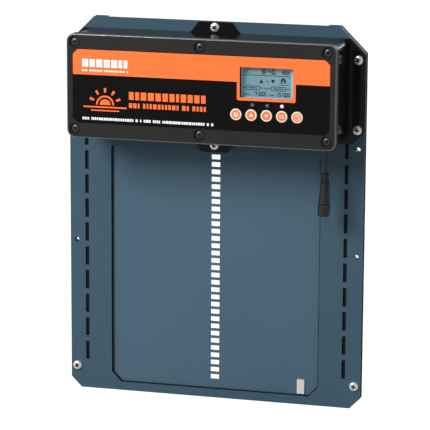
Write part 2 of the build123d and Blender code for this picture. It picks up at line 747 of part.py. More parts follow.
# ------------------------------------------------------------ housing lid
with BuildPart() as housing_lid:
    with BuildSketch(facing(LID_BACK)):
        with Locations((0, up(LID_BOTTOM))):
            RectangleRounded(LID_W, LID_H, LID_R, align=(Align.CENTER, Align.MIN))
    extrude(amount=LID_L)
    fillet(faces().sort_by(Axis.Y)[0].edges(), LID_EDGE_R)
    with BuildSketch(facing(LID_BACK)):
        with Locations((0, up(LID_BOTTOM + LID_WALL))):
            RectangleRounded(
                LID_W - 2 * LID_WALL, LID_H - 2 * LID_WALL, LID_R - LID_WALL, align=(Align.CENTER, Align.MIN)
            )
    extrude(amount=LID_L - LID_WALL, mode=Mode.SUBTRACT)
    with BuildSketch(facing(LID_BACK)):
        with Locations(*LID_SCREWS):
            Circle(LID_POST_D / 2)
    extrude(amount=LID_L - LID_WALL)
    with BuildSketch(facing(BOARD_FRONT)):
        with Locations(*BOARD_SCREWS):
            Circle(BOARD_POST_D / 2)
    extrude(amount=LID_INSIDE - BOARD_FRONT)
    # Recess for the label, then everything that passes through the lid.
    with BuildSketch(facing(LABEL_FLOOR)):
        with Locations((0, up(LABEL_UP))):
            Rectangle(LABEL_W + 2 * LABEL_PLAY, LABEL_H + 2 * LABEL_PLAY)
        chamfer(vertices(), LABEL_CHAMFER)
    extrude(amount=LABEL_RECESS, mode=Mode.SUBTRACT)
    with BuildSketch(facing(LID_FRONT - SCREW_RECESS_L)):
        with Locations(*LID_SCREWS):
            Circle(SCREW_RECESS_D / 2)
    extrude(amount=SCREW_RECESS_L, mode=Mode.SUBTRACT)
    with BuildSketch(facing(LID_BACK)):
        with Locations(*LID_SCREWS):
            Circle(M3_CLEAR_D / 2)
        with Locations((LCD_X, up(LCD_UP))):
            Rectangle(LCD_VIEW_W + 2 * PANE_MARGIN, LCD_VIEW_H + 2 * PANE_MARGIN)
        with Locations(*[(x, up(BUTTON_UP)) for x in BUTTON_XS]):
            Circle(BUTTON_D / 2 + BUTTON_PLAY)
        with Locations(*LIGHTS):
            Circle(LIGHT_D / 2 + LIGHT_PLAY)
    extrude(amount=LID_L, mode=Mode.SUBTRACT)
    with BuildSketch(facing(BOARD_FRONT)):
        with Locations(*BOARD_SCREWS):
            Circle(BOARD_PILOT_D / 2)
    extrude(amount=BOARD_SCREW_BITE, mode=Mode.SUBTRACT)
finish(housing_lid, "housing_lid")

lid_screws = pan_screws(
    LID_SCREWS,
    LID_FRONT - SCREW_RECESS_L,
    LID_L - SCREW_RECESS_L + LID_SCREW_BITE - SCREW_TIP_GAP,
    LID_SCREW_HEAD_D,
    LID_SCREW_HEAD_H,
    M3_SHANK_D,
)
finish(lid_screws, "lid_screws")

# ------------------------------------------------------------ front panel
with BuildPart() as front_label:
    with BuildSketch(facing(LABEL_FLOOR)):
        with Locations((0, up(LABEL_UP))):
            Rectangle(LABEL_W, LABEL_H)
        chamfer(vertices(), LABEL_CHAMFER)
        with Locations((LCD_X, up(LCD_UP))):
            Rectangle(LCD_VIEW_W, LCD_VIEW_H, mode=Mode.SUBTRACT)
        with Locations(*[(x, up(BUTTON_UP)) for x in BUTTON_XS]):
            Circle(BUTTON_D / 2 + BUTTON_PLAY, mode=Mode.SUBTRACT)
        with Locations(*LIGHTS):
            Circle(LIGHT_D / 2 + LIGHT_PLAY, mode=Mode.SUBTRACT)
    extrude(amount=LABEL_T)
finish(front_label, "front_label")

with BuildPart() as display_window:
    with BuildSketch(facing(LABEL_FLOOR)):
        with Locations((LCD_X, up(LCD_UP))):
            Rectangle(
                LCD_VIEW_W + 2 * (PANE_MARGIN - PANE_PLAY), LCD_VIEW_H + 2 * (PANE_MARGIN - PANE_PLAY)
            )
    extrude(amount=-PANE_T)
finish(display_window, "display_window")

with BuildPart() as display_panel:
    with BuildSketch(facing(BOARD_FRONT)):
        with Locations((LCD_X, up(LCD_UP))):
            Rectangle(LCD_MODULE_W, LCD_MODULE_H)
    extrude(amount=LID_INSIDE - LCD_GAP - BOARD_FRONT)
finish(display_panel, "display_panel")

with BuildPart() as indicator_lights:
    with BuildSketch(facing(BOARD_FRONT)):
        with Locations(*LIGHTS):
            Circle(LIGHT_D / 2)
    extrude(amount=LABEL_FRONT + LIGHT_PROUD - BOARD_FRONT)
finish(indicator_lights, "indicator_lights")

# ------------------------------------------------------------ circuit board
with BuildPart() as circuit_board:
    with BuildSketch(facing(BOARD_FRONT)):
        with Locations((BOARD_X, up(BOARD_UP))):
            Rectangle(BOARD_W, BOARD_H)
        with Locations(*BOARD_SCREWS):
            Circle(BOARD_HOLE_D / 2, mode=Mode.SUBTRACT)
    extrude(amount=-BOARD_T)
finish(circuit_board, "circuit_board")

with BuildPart() as board_screws:
    with BuildSketch(facing(BOARD_FRONT - BOARD_T)):
        with Locations(*BOARD_SCREWS):
            Circle(BOARD_SCREW_HEAD_D / 2)
    extrude(amount=-BOARD_SCREW_HEAD_H)
    with BuildSketch(facing(BOARD_FRONT - BOARD_T)):
        with Locations(*BOARD_SCREWS):
            Circle(BOARD_SCREW_D / 2)
    extrude(amount=BOARD_T + BOARD_SCREW_BITE - SCREW_TIP_GAP)
finish(board_screws, "board_screws")

with BuildPart() as button_switches:
    with BuildSketch(facing(BOARD_FRONT)):
        with Locations(*[(x, up(BUTTON_UP)) for x in BUTTON_XS]):
            Rectangle(SWITCH_SIZE, SWITCH_SIZE)
    extrude(amount=SWITCH_H)
    with BuildSketch(facing(BOARD_FRONT + SWITCH_H)):
        with Locations(*[(x, up(BUTTON_UP)) for x in BUTTON_XS]):
            Circle(SWITCH_BORE_D / 2)
    extrude(amount=-SWITCH_BORE_L, mode=Mode.SUBTRACT)
finish(button_switches, "button_switches")

# ------------------------------------------------------------ push buttons
BUTTON_BACK = LID_INSIDE - BUTTON_SEAT_GAP - BUTTON_FLANGE_T

for x, name in zip(BUTTON_XS, BUTTON_NAMES):
    with BuildPart() as push_button:
        with BuildSketch(facing(BUTTON_BACK)):
            with Locations((x, up(BUTTON_UP))):
                Circle(BUTTON_FLANGE_D / 2)
        extrude(amount=BUTTON_FLANGE_T)
        with BuildSketch(facing(BUTTON_BACK + BUTTON_FLANGE_T)):
            with Locations((x, up(BUTTON_UP))):
                Circle(BUTTON_D / 2)
        extrude(amount=LABEL_FRONT + BUTTON_PROUD - BUTTON_BACK - BUTTON_FLANGE_T)
        chamfer(edges().group_by(Axis.Y)[0], BUTTON_BEVEL)
        with BuildSketch(facing(BUTTON_BACK)):
            with Locations((x, up(BUTTON_UP))):
                Circle(BUTTON_STEM_D / 2)
        extrude(amount=-(BUTTON_BACK - BOARD_FRONT - SWITCH_H + SWITCH_BORE_L - BUTTON_TRAVEL - BUTTON_OVERRUN))
    finish(push_button, name)

# ------------------------------------------------------------ batteries
CELL_XS = [TRAY_X + (i - (CELL_COUNT - 1) / 2) * CELL_PITCH for i in range(CELL_COUNT)]
CELL_SPACE = CELL_L + NUB_L + SPRING_L
CELL_DEPTH = BASE_FLOOR + TRAY_WALL + CELL_D / 2

with BuildPart() as battery_tray:
    with BuildSketch(facing(BASE_FLOOR)):
        with Locations((TRAY_X, up(LID_MID))):
            Rectangle(CELL_COUNT * CELL_PITCH + 2 * TRAY_WALL, CELL_SPACE + 2 * TRAY_END)
    extrude(amount=TRAY_H)
    with BuildSketch(facing(BASE_FLOOR + TRAY_WALL)):
        with Locations((TRAY_X, up(LID_MID))):
            Rectangle(CELL_COUNT * CELL_PITCH, CELL_SPACE)
    extrude(amount=TRAY_H - TRAY_WALL, mode=Mode.SUBTRACT)
finish(battery_tray, "battery_tray")

with BuildPart() as battery_cells:
    for i, x in enumerate(CELL_XS):
        flip = 1 if i % 2 else -1
        with BuildSketch(Plane((x, -CELL_DEPTH, up(LID_MID) + flip * CELL_SPACE / 2), z_dir=(0, 0, -flip))):
            Circle(NUB_D / 2)
        extrude(amount=NUB_L)
        with BuildSketch(
            Plane((x, -CELL_DEPTH, up(LID_MID) + flip * (CELL_SPACE / 2 - NUB_L)), z_dir=(0, 0, -flip))
        ):
            Circle(CELL_D / 2)
        extrude(amount=CELL_L)
finish(battery_cells, "battery_cells")

with BuildPart() as battery_springs:
    for i, x in enumerate(CELL_XS):
        flip = -1 if i % 2 else 1
        with BuildSketch(Plane((x, -CELL_DEPTH, up(LID_MID) + flip * CELL_SPACE / 2), z_dir=(0, 0, -flip))):
            Circle(SPRING_D / 2)
        extrude(amount=SPRING_L, taper=SPRING_TAPER)
finish(battery_springs, "battery_springs")

# ------------------------------------------------------------ door position sensor
with BuildPart() as position_sensor:
    with BuildSketch(facing(BASE_FLOOR)):
        with Locations((MAGNET_X, up(SENSOR_UP))):
            Rectangle(SENSOR_W, SENSOR_H)
    extrude(amount=SENSOR_T)
finish(position_sensor, "position_sensor")

# ------------------------------------------------------------ supply cable and its inline socket
route = [Vector(x, -depth, up(h)) for x, depth, h in CABLE_ROUTE]

with BuildPart() as cable_gland:
    with BuildSketch(Plane.XY.offset(up(BASE_BOTTOM + BASE_WALL))):
        with Locations((route[0].X, route[0].Y)):
            Circle(GLAND_FLANGE_D / 2)
    extrude(amount=GLAND_FLANGE_T)
    with BuildSketch(Plane.XY.offset(up(BASE_BOTTOM))):
        with Locations((route[0].X, route[0].Y)):
            Circle(GLAND_D / 2)
    extrude(amount=BASE_WALL)
    with BuildSketch(Plane.XY.offset(up(BASE_BOTTOM))):
        with Locations((route[0].X, route[0].Y)):
            Circle(GLAND_FLANGE_D / 2)
    extrude(amount=-GLAND_TAIL)
    with BuildSketch(Plane.XY.offset(up(BASE_BOTTOM) - GLAND_TAIL)):
        with Locations((route[0].X, route[0].Y)):
            Circle(CABLE_D / 2)
    extrude(amount=GLAND_TAIL + BASE_WALL + GLAND_FLANGE_T, mode=Mode.SUBTRACT)
finish(cable_gland, "cable_gland")


def bend_radii(points):
    """Largest tangent arc that each corner's shorter run allows."""
    radii = []
    for before, corner, after in zip(points, points[1:], points[2:]):
        half_turn = math.radians((corner - before).get_angle(after - corner)) / 2
        radii.append(0.45 * min((corner - before).length, (after - corner).length) / math.tan(half_turn))
    return radii


radii = bend_radii(route)
print("cable bend radii", [round(r, 1) for r in radii])
with BuildPart() as supply_cable:
    with BuildLine():
        path = FilletPolyline(*route, radius=radii)
    with BuildSketch(Plane(origin=path @ 0, z_dir=path % 0)):
        Circle(CABLE_D / 2)
    sweep()
print("cable volume", supply_cable.part.volume, "section x length", math.pi * CABLE_D**2 / 4 * path.length)
finish(supply_cable, "supply_cable")

SOCKET_DIR = (route[-1] - route[-2]).normalized()
SOCKET_AXIS = Axis(route[-1], SOCKET_DIR)
SOCKET_PROFILE = Plane(origin=route[-1], x_dir=SOCKET_DIR, z_dir=SOCKET_DIR.cross(Vector(0, 1, 0)))


def socket_piece(*profile):
    """Revolve (distance along the socket, radius) points about the socket's axis."""
    with BuildPart() as piece:
        with BuildSketch(SOCKET_PROFILE):
            Polygon(*profile, align=None)
        revolve(axis=SOCKET_AXIS)
    return piece


BARREL_START = RELIEF_L + SOCKET_BODY_L
SOCKET_END = BARREL_START + SOCKET_BARREL_L

# The strain relief is a ring, then stacked cones that leave ribs.
relief_points = [(0, 0), (0, RELIEF_RING_D / 2), (RELIEF_RING_T, RELIEF_RING_D / 2)]
rib_step = (RELIEF_L - RELIEF_RING_T) / RELIEF_RIBS
for i in range(RELIEF_RIBS):
    start = RELIEF_RING_T + i * rib_step
    rib_d = RELIEF_D_TOP + (RELIEF_D_LOW - RELIEF_D_TOP) * (i + 1) / RELIEF_RIBS
    relief_points += [(start, RELIEF_D_TOP / 2), (start + rib_step * 0.4, RELIEF_D_TOP / 2)]
    relief_points += [(start + rib_step * 0.4, rib_d / 2), (start + rib_step, rib_d / 2)]
relief_points.append((RELIEF_L, 0))
finish(socket_piece(*relief_points), "socket_strain_relief")

socket_body = socket_piece(
    (RELIEF_L, 0),
    (RELIEF_L, SOCKET_NECK_D / 2),
    (BARREL_START, SOCKET_BODY_D / 2),
    (BARREL_START, 0),
)
finish(socket_body, "socket_body")

socket_barrel = socket_piece(
    (BARREL_START, 0),
    (BARREL_START, SOCKET_BARREL_D / 2 - SOCKET_EDGE),
    (BARREL_START + SOCKET_EDGE, SOCKET_BARREL_D / 2),
    (SOCKET_END - SOCKET_EDGE, SOCKET_BARREL_D / 2),
    (SOCKET_END, SOCKET_BARREL_D / 2 - SOCKET_EDGE),
    (SOCKET_END, SOCKET_BORE_D / 2),
    (SOCKET_END - SOCKET_BORE_L, SOCKET_BORE_D / 2),
    (SOCKET_END - SOCKET_BORE_L, 0),
)
finish(socket_barrel, "socket_barrel")

socket_pin = socket_piece(
    (SOCKET_END - SOCKET_BORE_L, 0),
    (SOCKET_END - SOCKET_BORE_L, SOCKET_PIN_D / 2),
    (SOCKET_END - SOCKET_EDGE, SOCKET_PIN_D / 2),
    (SOCKET_END - SOCKET_EDGE, 0),
)
finish(socket_pin, "socket_pin")
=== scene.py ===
# %% [markdown]
# # An automatic coop door, dressed for its portrait
# The door's frame, rails, housing, gears and fasteners are already built to size
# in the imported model. This lesson loads that model, gives every piece its
# finish, adds the printed graphics and the finely shaped screws, and lights it.
# Units are metres. +X is right, +Z is up, and -Y points out of the wall.

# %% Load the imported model
import math

import bmesh
import bpy
from mathutils import Matrix, Vector


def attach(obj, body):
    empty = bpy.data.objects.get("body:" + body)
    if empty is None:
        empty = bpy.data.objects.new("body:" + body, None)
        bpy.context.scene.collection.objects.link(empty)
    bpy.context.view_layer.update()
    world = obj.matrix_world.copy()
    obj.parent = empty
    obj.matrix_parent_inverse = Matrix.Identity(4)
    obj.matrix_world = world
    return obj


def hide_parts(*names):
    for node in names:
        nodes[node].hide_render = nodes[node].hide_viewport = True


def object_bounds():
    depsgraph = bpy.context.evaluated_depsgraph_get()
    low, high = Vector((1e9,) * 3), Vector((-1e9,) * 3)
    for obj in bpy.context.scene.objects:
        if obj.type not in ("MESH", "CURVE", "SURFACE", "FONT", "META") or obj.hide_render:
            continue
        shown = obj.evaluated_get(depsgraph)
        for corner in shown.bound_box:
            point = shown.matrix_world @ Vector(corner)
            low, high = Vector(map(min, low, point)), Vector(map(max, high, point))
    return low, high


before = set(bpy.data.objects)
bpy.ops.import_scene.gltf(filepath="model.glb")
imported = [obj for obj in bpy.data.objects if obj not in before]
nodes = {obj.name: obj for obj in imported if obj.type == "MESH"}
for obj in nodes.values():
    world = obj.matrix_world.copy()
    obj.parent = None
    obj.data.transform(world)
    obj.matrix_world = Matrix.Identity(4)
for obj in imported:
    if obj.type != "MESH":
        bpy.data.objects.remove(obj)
cad_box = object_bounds()
scene = bpy.context.scene
MM = 0.001
print("loaded", len(nodes), "nodes")

# %% [markdown]
# ## The camera
# A long lens a good two metres away keeps the frame's upright edges upright.
# The camera stands a little to the right of the door and above its middle, and
# looks back down at it, so the housing's top and right flank just show.

# %% Camera
CAMERA_AT = Vector((0.577, -2.180, 0.476))
CAMERA_YAW = math.radians(14.87)
CAMERA_PITCH = math.radians(12.41)
CAMERA_ROLL = math.radians(0.32)
CAMERA_LENS = 208.3

camera_data = bpy.data.cameras.new("camera")
camera_data.lens = CAMERA_LENS
camera_data.sensor_width = 36
camera_data.clip_end = 50
camera = bpy.data.objects.new("camera", camera_data)
scene.collection.objects.link(camera)
turn = Matrix.Rotation(CAMERA_YAW, 4, "Z") @ Matrix.Rotation(math.pi / 2 - CAMERA_PITCH, 4, "X")
turn = turn @ Matrix.Rotation(CAMERA_ROLL, 4, "Z")
camera.matrix_world = Matrix.Translation(CAMERA_AT) @ turn
scene.camera = camera

# %% [markdown]
# ## The supply cable
# A thin rubber-sheathed lead drops out of the housing's gland to an inline
# socket. It is one smooth curve with four given control points, so it
# hangs almost straight with the slight set that a short stiff lead keeps.

# %% Cable
CABLE_DIAMETER = 2.8 * MM
CABLE_ROUTE = [
    (0.1094, -0.0331, 0.0636),
    (0.1094, -0.0331, 0.0532),
    (0.1100, -0.0334, 0.0420),
    (0.1096, -0.0331, 0.0315),
]

cable_curve = bpy.data.curves.new("cable", "CURVE")
cable_curve.dimensions = "3D"
spline = cable_curve.splines.new("NURBS")
spline.points.add(len(CABLE_ROUTE) - 1)
for point, place in zip(spline.points, CABLE_ROUTE):
    point.co = (*place, 1)
spline.order_u = 3
spline.use_endpoint_u = True
spline.resolution_u = 16
cable_line = bpy.data.objects.new("cable_line", cable_curve)
cable_path = [vert.co.copy() for vert in bpy.data.meshes.new_from_object(cable_line).vertices]
cable_curve.bevel_depth = CABLE_DIAMETER / 2
cable_curve.bevel_resolution = 6
cable_curve.use_fill_caps = True
cable_mesh = bpy.data.meshes.new_from_object(cable_line)
cable_mesh.shade_smooth()
bpy.data.objects.remove(cable_line)
cable = bpy.data.objects.new("cable", cable_mesh)
scene.collection.objects.link(cable)
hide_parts("supply_cable")
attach(cable, "frame")
print("cable follows", len(cable_path), "points of its spline")

# %% [markdown]
# ## A shorthand for shader maths
# A material is a graph of nodes. Writing the graph as arithmetic keeps it short:
# `Value` wraps one output socket, so `mask * 0.4 + 1` adds the Math nodes itself,
# and `Shader.node` makes any other node from its type, settings and inputs.


# %% Shader helpers
class Value:
    """One output socket; arithmetic on it adds Math nodes."""

    def __init__(self, tree, socket):
        self.tree, self.socket = tree, socket

    def math(self, operation, *others, clamp=False):
        node = self.tree.nodes.new("ShaderNodeMath")
        node.operation, node.use_clamp = operation, clamp
        for slot_in, item in zip(node.inputs, (self, *others)):
            feed(self.tree, slot_in, item)
        return Value(self.tree, node.outputs[0])

    def __add__(self, other):
        return self.math("ADD", other)

    __radd__ = __add__

    def __sub__(self, other):
        return self.math("SUBTRACT", other)

    def __mul__(self, other):
        return self.math("MULTIPLY", other)

    __rmul__ = __mul__

    def __truediv__(self, other):
        return self.math("DIVIDE", other)

    def __gt__(self, other):
        return self.math("GREATER_THAN", other)

    def __lt__(self, other):
        return self.math("LESS_THAN", other)

    def clamped(self):
        return self.math("ADD", 0.0, clamp=True)


def feed(tree, socket, item):
    """Put a link or a plain number or colour into an input socket."""
    if isinstance(item, Value):
        tree.links.new(item.socket, socket)
    elif isinstance(item, (tuple, list)) and len(item) == 3 and len(socket.default_value) == 4:
        socket.default_value = (*item, 1)
    else:
        socket.default_value = item


class Shader:
    """A material's node tree, with its Principled node ready."""

    def __init__(self, name):
        self.material = bpy.data.materials.new(name)
        self.material.use_nodes = True
        self.tree = self.material.node_tree
        self.principled = self.tree.nodes["Principled BSDF"]
        self.place = self.node("ShaderNodeTexCoord", out="Object")

    def node(self, kind, out=0, ramp=None, inputs=None, **settings):
        made = self.tree.nodes.new(kind)
        for key, setting in settings.items():
            setattr(made, key, setting)
        if ramp:
            stops = made.color_ramp.elements
            while len(stops) < len(ramp):
                stops.new(0.5)
            for stop, (at, shade) in zip(stops, ramp):
                stop.position = at
                stop.color = (*shade, 1) if isinstance(shade, tuple) else (shade, shade, shade, 1)
        for key, item in (inputs or {}).items():
            feed(self.tree, made.inputs[key], item)
        return Value(self.tree, made.outputs[out])

    def noise(self, scale, detail=3.0, roughness=0.5, vector=None):
        return self.node(
            "ShaderNodeTexNoise",
            inputs={
                "Vector": vector or self.place,
                "Scale": scale,
                "Detail": detail,
                "Roughness": roughness,
            },
        )

    def stretched(self, x, y, z):
        return self.node(
            "ShaderNodeMapping", inputs={"Vector": self.place, "Scale": Vector((x, y, z))}
        )

    def axes(self):
        split = self.tree.nodes.new("ShaderNodeSeparateXYZ")
        feed(self.tree, split.inputs[0], self.place)
        return [Value(self.tree, output) for output in split.outputs]

    def mix(self, factor, first, second):
        blend = self.tree.nodes.new("ShaderNodeMix")
        blend.data_type = "RGBA"
        feed(self.tree, blend.inputs[0], factor)
        feed(self.tree, blend.inputs[6], first)
        feed(self.tree, blend.inputs[7], second)
        return Value(self.tree, blend.outputs[2])

    def bump(self, height, strength, distance):
        return self.node(
            "ShaderNodeBump", inputs={"Height": height, "Strength": strength, "Distance": distance}
        )

    def set(self, **values):
        for key, item in values.items():
            feed(self.tree, self.principled.inputs[key.replace("_", " ")], item)
        return self.material


def srgb(red, green, blue):
    """Linear colour from the 0 to 255 numbers of a colour picker."""
    return tuple(
        c / 12.92 if c <= 0.04045 else ((c + 0.055) / 1.055) ** 2.4
        for c in (red / 255, green / 255, blue / 255)
    )


def dress(material, *names):
    """Give CAD nodes or pieces one material."""
    for name in names:
        thing = nodes[name] if isinstance(name, str) else name
        if not thing.material_slots:
            thing.data.materials.append(material)
        for slot in thing.material_slots:
            slot.material = material


# %% [markdown]
# ## Powder-coated sheet
# The frame and the door are aluminium sheet under a blue-grey powder coat. The
# coat has a fine orange-peel skin, which a small bump gives, and is never quite
# one colour, so a broad noise shifts it a little. A clear coat adds the sheen.


# %% Blue sheet
def powder_coat(name, light, dark, rough):
    shader = Shader(name)
    cloud = shader.noise(5.0, 2.0)
    speck = shader.noise(1400.0, 2.0)
    grain = shader.noise(520.0, 3.0, 0.6)
    tone = (cloud * 0.8 + speck * 0.35 - 0.1).clamped()
    colour = shader.mix(tone, dark, light)
    return shader.set(
        Base_Color=colour,
        Roughness=rough + grain * 0.1,
        Specular_IOR_Level=0.2,
        Coat_Weight=0.04,
        Coat_Roughness=0.35,
        Normal=shader.bump(grain, 0.16, 0.00025),
    )


frame_blue = powder_coat("frame_blue", srgb(58, 83, 97), srgb(45, 67, 81), 0.42)
door_blue = powder_coat("door_blue", srgb(68, 92, 107), srgb(54, 78, 93), 0.46)
dress(frame_blue, "front_frame", "rear_frame")
dress(door_blue, "door_panel")
print("powder coat on the frame and the door")

# %% [markdown]
# ## Moulded plastics
# Four plastics differ mostly in gloss. The rails and the small mouldings are
# plain black, the housing's base is polished, and its lid has a spark-eroded
# texture that scatters light and reads as charcoal. The lid's edge fillet is
# painted a lighter grey, a painted highlight, and its side walls darker, a
# painted shade.


# %% Plastics and rubber
def moulding(name, colour, rough, grain_size, grain_depth, sheen=0.5, mottled=0.12, rim=0.0):
    shader = Shader(name)
    grain = shader.noise(grain_size, 3.0, 0.65)
    flow = shader.noise(14.0, 2.0)
    deeper = tuple(c * 0.72 for c in colour)
    colour_out = shader.mix((flow * 0.9 + grain * 0.3).clamped(), deeper, colour)
    # With rim set, the fillet round a lid's front is painted the grey rim, a painted highlight; the
    # coat on that fillet is real gloss.
    if rim:
        normal = shader.node("ShaderNodeNewGeometry", out="Normal")
        front = shader.node("ShaderNodeSeparateXYZ", out=1, inputs={0: normal}).math("ABSOLUTE")
        edge = (front < 0.96) * (front > 0.2)
        # painted highlight: the fillet between the front and the sides takes the lighter grey rim
        painted_edge_highlight = shader.mix(edge, colour_out, srgb(rim, rim, rim))
        # painted shade: faces turned fully sideways are painted near black
        colour_out = shader.mix(front < 0.2, painted_edge_highlight, srgb(14, 14, 15))
        shader.set(Coat_Weight=edge * 0.9, Coat_Roughness=0.15)
    return shader.set(
        Base_Color=colour_out,
        Roughness=rough + (flow - 0.5) * mottled,
        Specular_IOR_Level=sheen,
        Normal=shader.bump(grain, 0.25, grain_depth),
    )


rail_black = moulding("rail_black", srgb(14, 16, 19), 0.5, 900, 0.00012, 0.12)
# 96 is the grey of the painted highlight on the lid's edge fillet
lid_charcoal = moulding("lid_charcoal", srgb(37, 37, 36), 0.42, 1500, 0.00018, 0.12, 0.12, 96)
base_black = moulding("base_black", srgb(20, 20, 20), 0.12, 50, 0.00002, 0.13, 0.04)
tray_black = moulding("tray_black", srgb(26, 26, 27), 0.55, 800, 0.0001)
rubber_black = moulding("rubber_black", srgb(5, 5, 6), 0.22, 1200, 0.00003, 0.5)
socket_black = moulding("socket_black", srgb(4, 4, 5), 0.16, 1100, 0.00002, 0.6)
acetal_white = moulding("acetal_white", srgb(226, 224, 214), 0.35, 700, 0.00005)

dress(rail_black, "guide_rail_left", "guide_rail_right", "sill_bar")
dress(lid_charcoal, "housing_lid")
dress(base_black, "housing_base")
dress(tray_black, "battery_tray", "button_switches", "position_sensor")
dress(rubber_black, "housing_gasket", "cable_gland", "socket_strain_relief", cable)
dress(socket_black, "socket_body", "socket_barrel")
dress(acetal_white, "drive_pinion")
print("plastics and rubber done")

# %% [markdown]
# ## Metals
# Plated screws are bright and a little cloudy. Sheet-steel parts show the fine
# parallel lines of rolling, which a noise stretched along one axis draws.


# %% Metals
def plated(name, colour, rough, cloud=0.12, metal=1.0):
    shader = Shader(name)
    haze = shader.noise(900.0, 4.0, 0.6)
    return shader.set(
        Base_Color=shader.mix(haze, tuple(c * 0.82 for c in colour), colour),
        Metallic=metal,
        Roughness=rough + (haze - 0.5) * cloud,
        Normal=shader.bump(haze, 0.12, 0.00004),
    )


def rolled_steel(name, colour, rough):
    shader = Shader(name)
    lines = shader.noise(1.0, 3.0, 0.5, vector=shader.stretched(90, 1600, 1600))
    return shader.set(
        Base_Color=shader.mix(lines, tuple(c * 0.75 for c in colour), colour),
        Metallic=1.0,
        Roughness=rough + lines * 0.15,
        Normal=shader.bump(lines, 0.1, 0.00003),
    )


bright_nickel = plated("bright_nickel", srgb(240, 240, 238), 0.24, 0.12, 0.72)
magnet_nickel = plated("magnet_nickel", srgb(236, 236, 234), 0.34, 0.12, 0.6)
# painted shade: a dark metal for the screws' cross recesses, standing in for the shade inside them
painted_recess_shade = plated("painted_recess_shade", srgb(40, 38, 36), 0.5)
black_zinc = plated("black_zinc", srgb(80, 80, 80), 0.34)
bush_bronze = plated("bush_bronze", srgb(196, 150, 84), 0.4)
zinc_steel = rolled_steel("zinc_steel", srgb(196, 198, 200), 0.28)
motor_steel = rolled_steel("motor_steel", srgb(176, 178, 180), 0.32)

dress(bright_nickel, "frame_screws", "flange_screws", "tab_screws", "press_nuts")
dress(black_zinc, "lid_screws")
dress(magnet_nickel, "door_magnet")
dress(bush_bronze, "shaft_bush")
dress(zinc_steel, "motor_bracket", "gearbox", "gearbox_screws", "bracket_screws", "board_screws")
dress(zinc_steel, "pinion_shaft", "shaft_clip", "battery_springs", "socket_pin")
dress(motor_steel, "motor")
print("metals done")

# %% [markdown]
# ## Small parts inside the housing
# The circuit board, cells and sensor are seen when the lid is off, so each gets
# its own finish. A board is green lacquer over copper, and a brick texture with
# thin bright joints stands for the copper tracks under the lacquer. A cell has
# a printed jacket with a band at one end, found from the height on the piece.


# %% Board, cells and spare finishes
def board_finish():
    shader = Shader("board_green")
    tracks = shader.node(
        "ShaderNodeTexBrick",
        out="Fac",
        inputs={
            "Vector": shader.node(
                "ShaderNodeMapping",
                inputs={"Vector": shader.place, "Rotation": Vector((math.pi / 2, 0, 0))},
            ),
            "Scale": 180.0,
            "Mortar Size": 0.06,
        },
    )
    weave = shader.noise(2200.0, 2.0)
    green = shader.mix(weave, srgb(18, 74, 44), srgb(26, 92, 54))
    return shader.set(
        Base_Color=shader.mix(tracks, green, srgb(64, 128, 70)),
        Roughness=0.3 + weave * 0.12,
        Normal=shader.bump(tracks, 0.3, 0.00005),
    )


def cell_finish():
    shader = Shader("cell_jacket")
    x, y, z = shader.axes()
    band = (z > 0.118) * (z < 0.127)
    haze = shader.noise(160.0, 2.0)
    jacket = shader.mix(haze, srgb(36, 40, 46), srgb(46, 50, 58))
    return shader.set(
        Base_Color=shader.mix(band, jacket, srgb(206, 140, 66)),
        Metallic=band * 0.8,
        Roughness=0.28 + haze * 0.1,
    )


dress(board_finish(), "circuit_board")
dress(cell_finish(), "battery_cells")
print("board and cells done")

# %% [markdown]
# ## The display
# A liquid-crystal display is a grey-green mirror behind a clear pane. The pane
# is glass-like, with most of its light let straight through so that what lies
# behind keeps its colour. The panel is given a weak glow, a painted light, as no
# lamp is modelled behind it. It is a shade lighter towards the right, and its
# rim is a shade paler. Left of SHADE_LEFT it is painted near black, a painted
# shadow of the recess's left wall.


# %% Display pane and panel
def clear_pane():
    shader = Shader("clear_pane")
    haze = shader.noise(300.0, 3.0)
    return shader.set(
        Base_Color=shader.mix(haze, srgb(60, 70, 74), srgb(80, 90, 94)),
        Roughness=0.04 + haze * 0.06,
        Alpha=0.04 + haze * 0.02,
        Specular_IOR_Level=0.4,
    )


LCD_X, LCD_UP, LCD_W, LCD_H = 61.2, 310.25, 48.4, 27.1
SHADE_LEFT, RIM_LEFT, RIM_RIGHT, RIM_LOW = 36.9, 38.6, 82.8, 296.9
FRAME_BOTTOM = -194.0


def up(height):
    """Height above the frame's bottom edge to Z, in millimetres."""
    return FRAME_BOTTOM + height


def lcd_panel():
    shader = Shader("lcd_panel")
    x, y, z = shader.axes()
    across = (x - (LCD_X - LCD_W / 2) * MM) / (LCD_W * MM)
    rim = ((x > RIM_RIGHT * MM) + (x < RIM_LEFT * MM) + (z < up(RIM_LOW) * MM)).clamped()
    cells = shader.noise(500.0, 2.0)
    ground = shader.mix(across.clamped(), srgb(100, 138, 148), srgb(114, 148, 154))
    ground = shader.mix(cells * 0.25, ground, srgb(88, 126, 138))
    # painted shadow: left of SHADE_LEFT the panel is painted near black, where the recess's left
    # wall casts its shade
    painted_shadow_band = x < SHADE_LEFT * MM
    colour = shader.mix(painted_shadow_band, shader.mix(rim, ground, srgb(150, 190, 214)), srgb(16, 20, 26))
    return shader.set(
        Base_Color=colour,
        # painted light: the panel glows weakly, though no lamp is modelled behind it
        Emission_Color=colour,
        Emission_Strength=0.12,
        Roughness=0.35 + cells * 0.1,
    )


dress(clear_pane(), "display_window")
dress(lcd_panel(), "display_panel")


def lamp_lens():
    shader = Shader("lamp_lens")
    x, y, z = shader.axes()
    lit = x > 0.069
    grain = shader.noise(900.0, 2.0)
    colour = shader.mix(lit, srgb(84, 84, 80), srgb(236, 228, 200))
    return shader.set(
        Base_Color=colour,
        Emission_Color=shader.mix(lit, srgb(0, 0, 0), srgb(255, 244, 206)),
        Emission_Strength=0.15,
        Roughness=0.25 + grain * 0.1,
    )


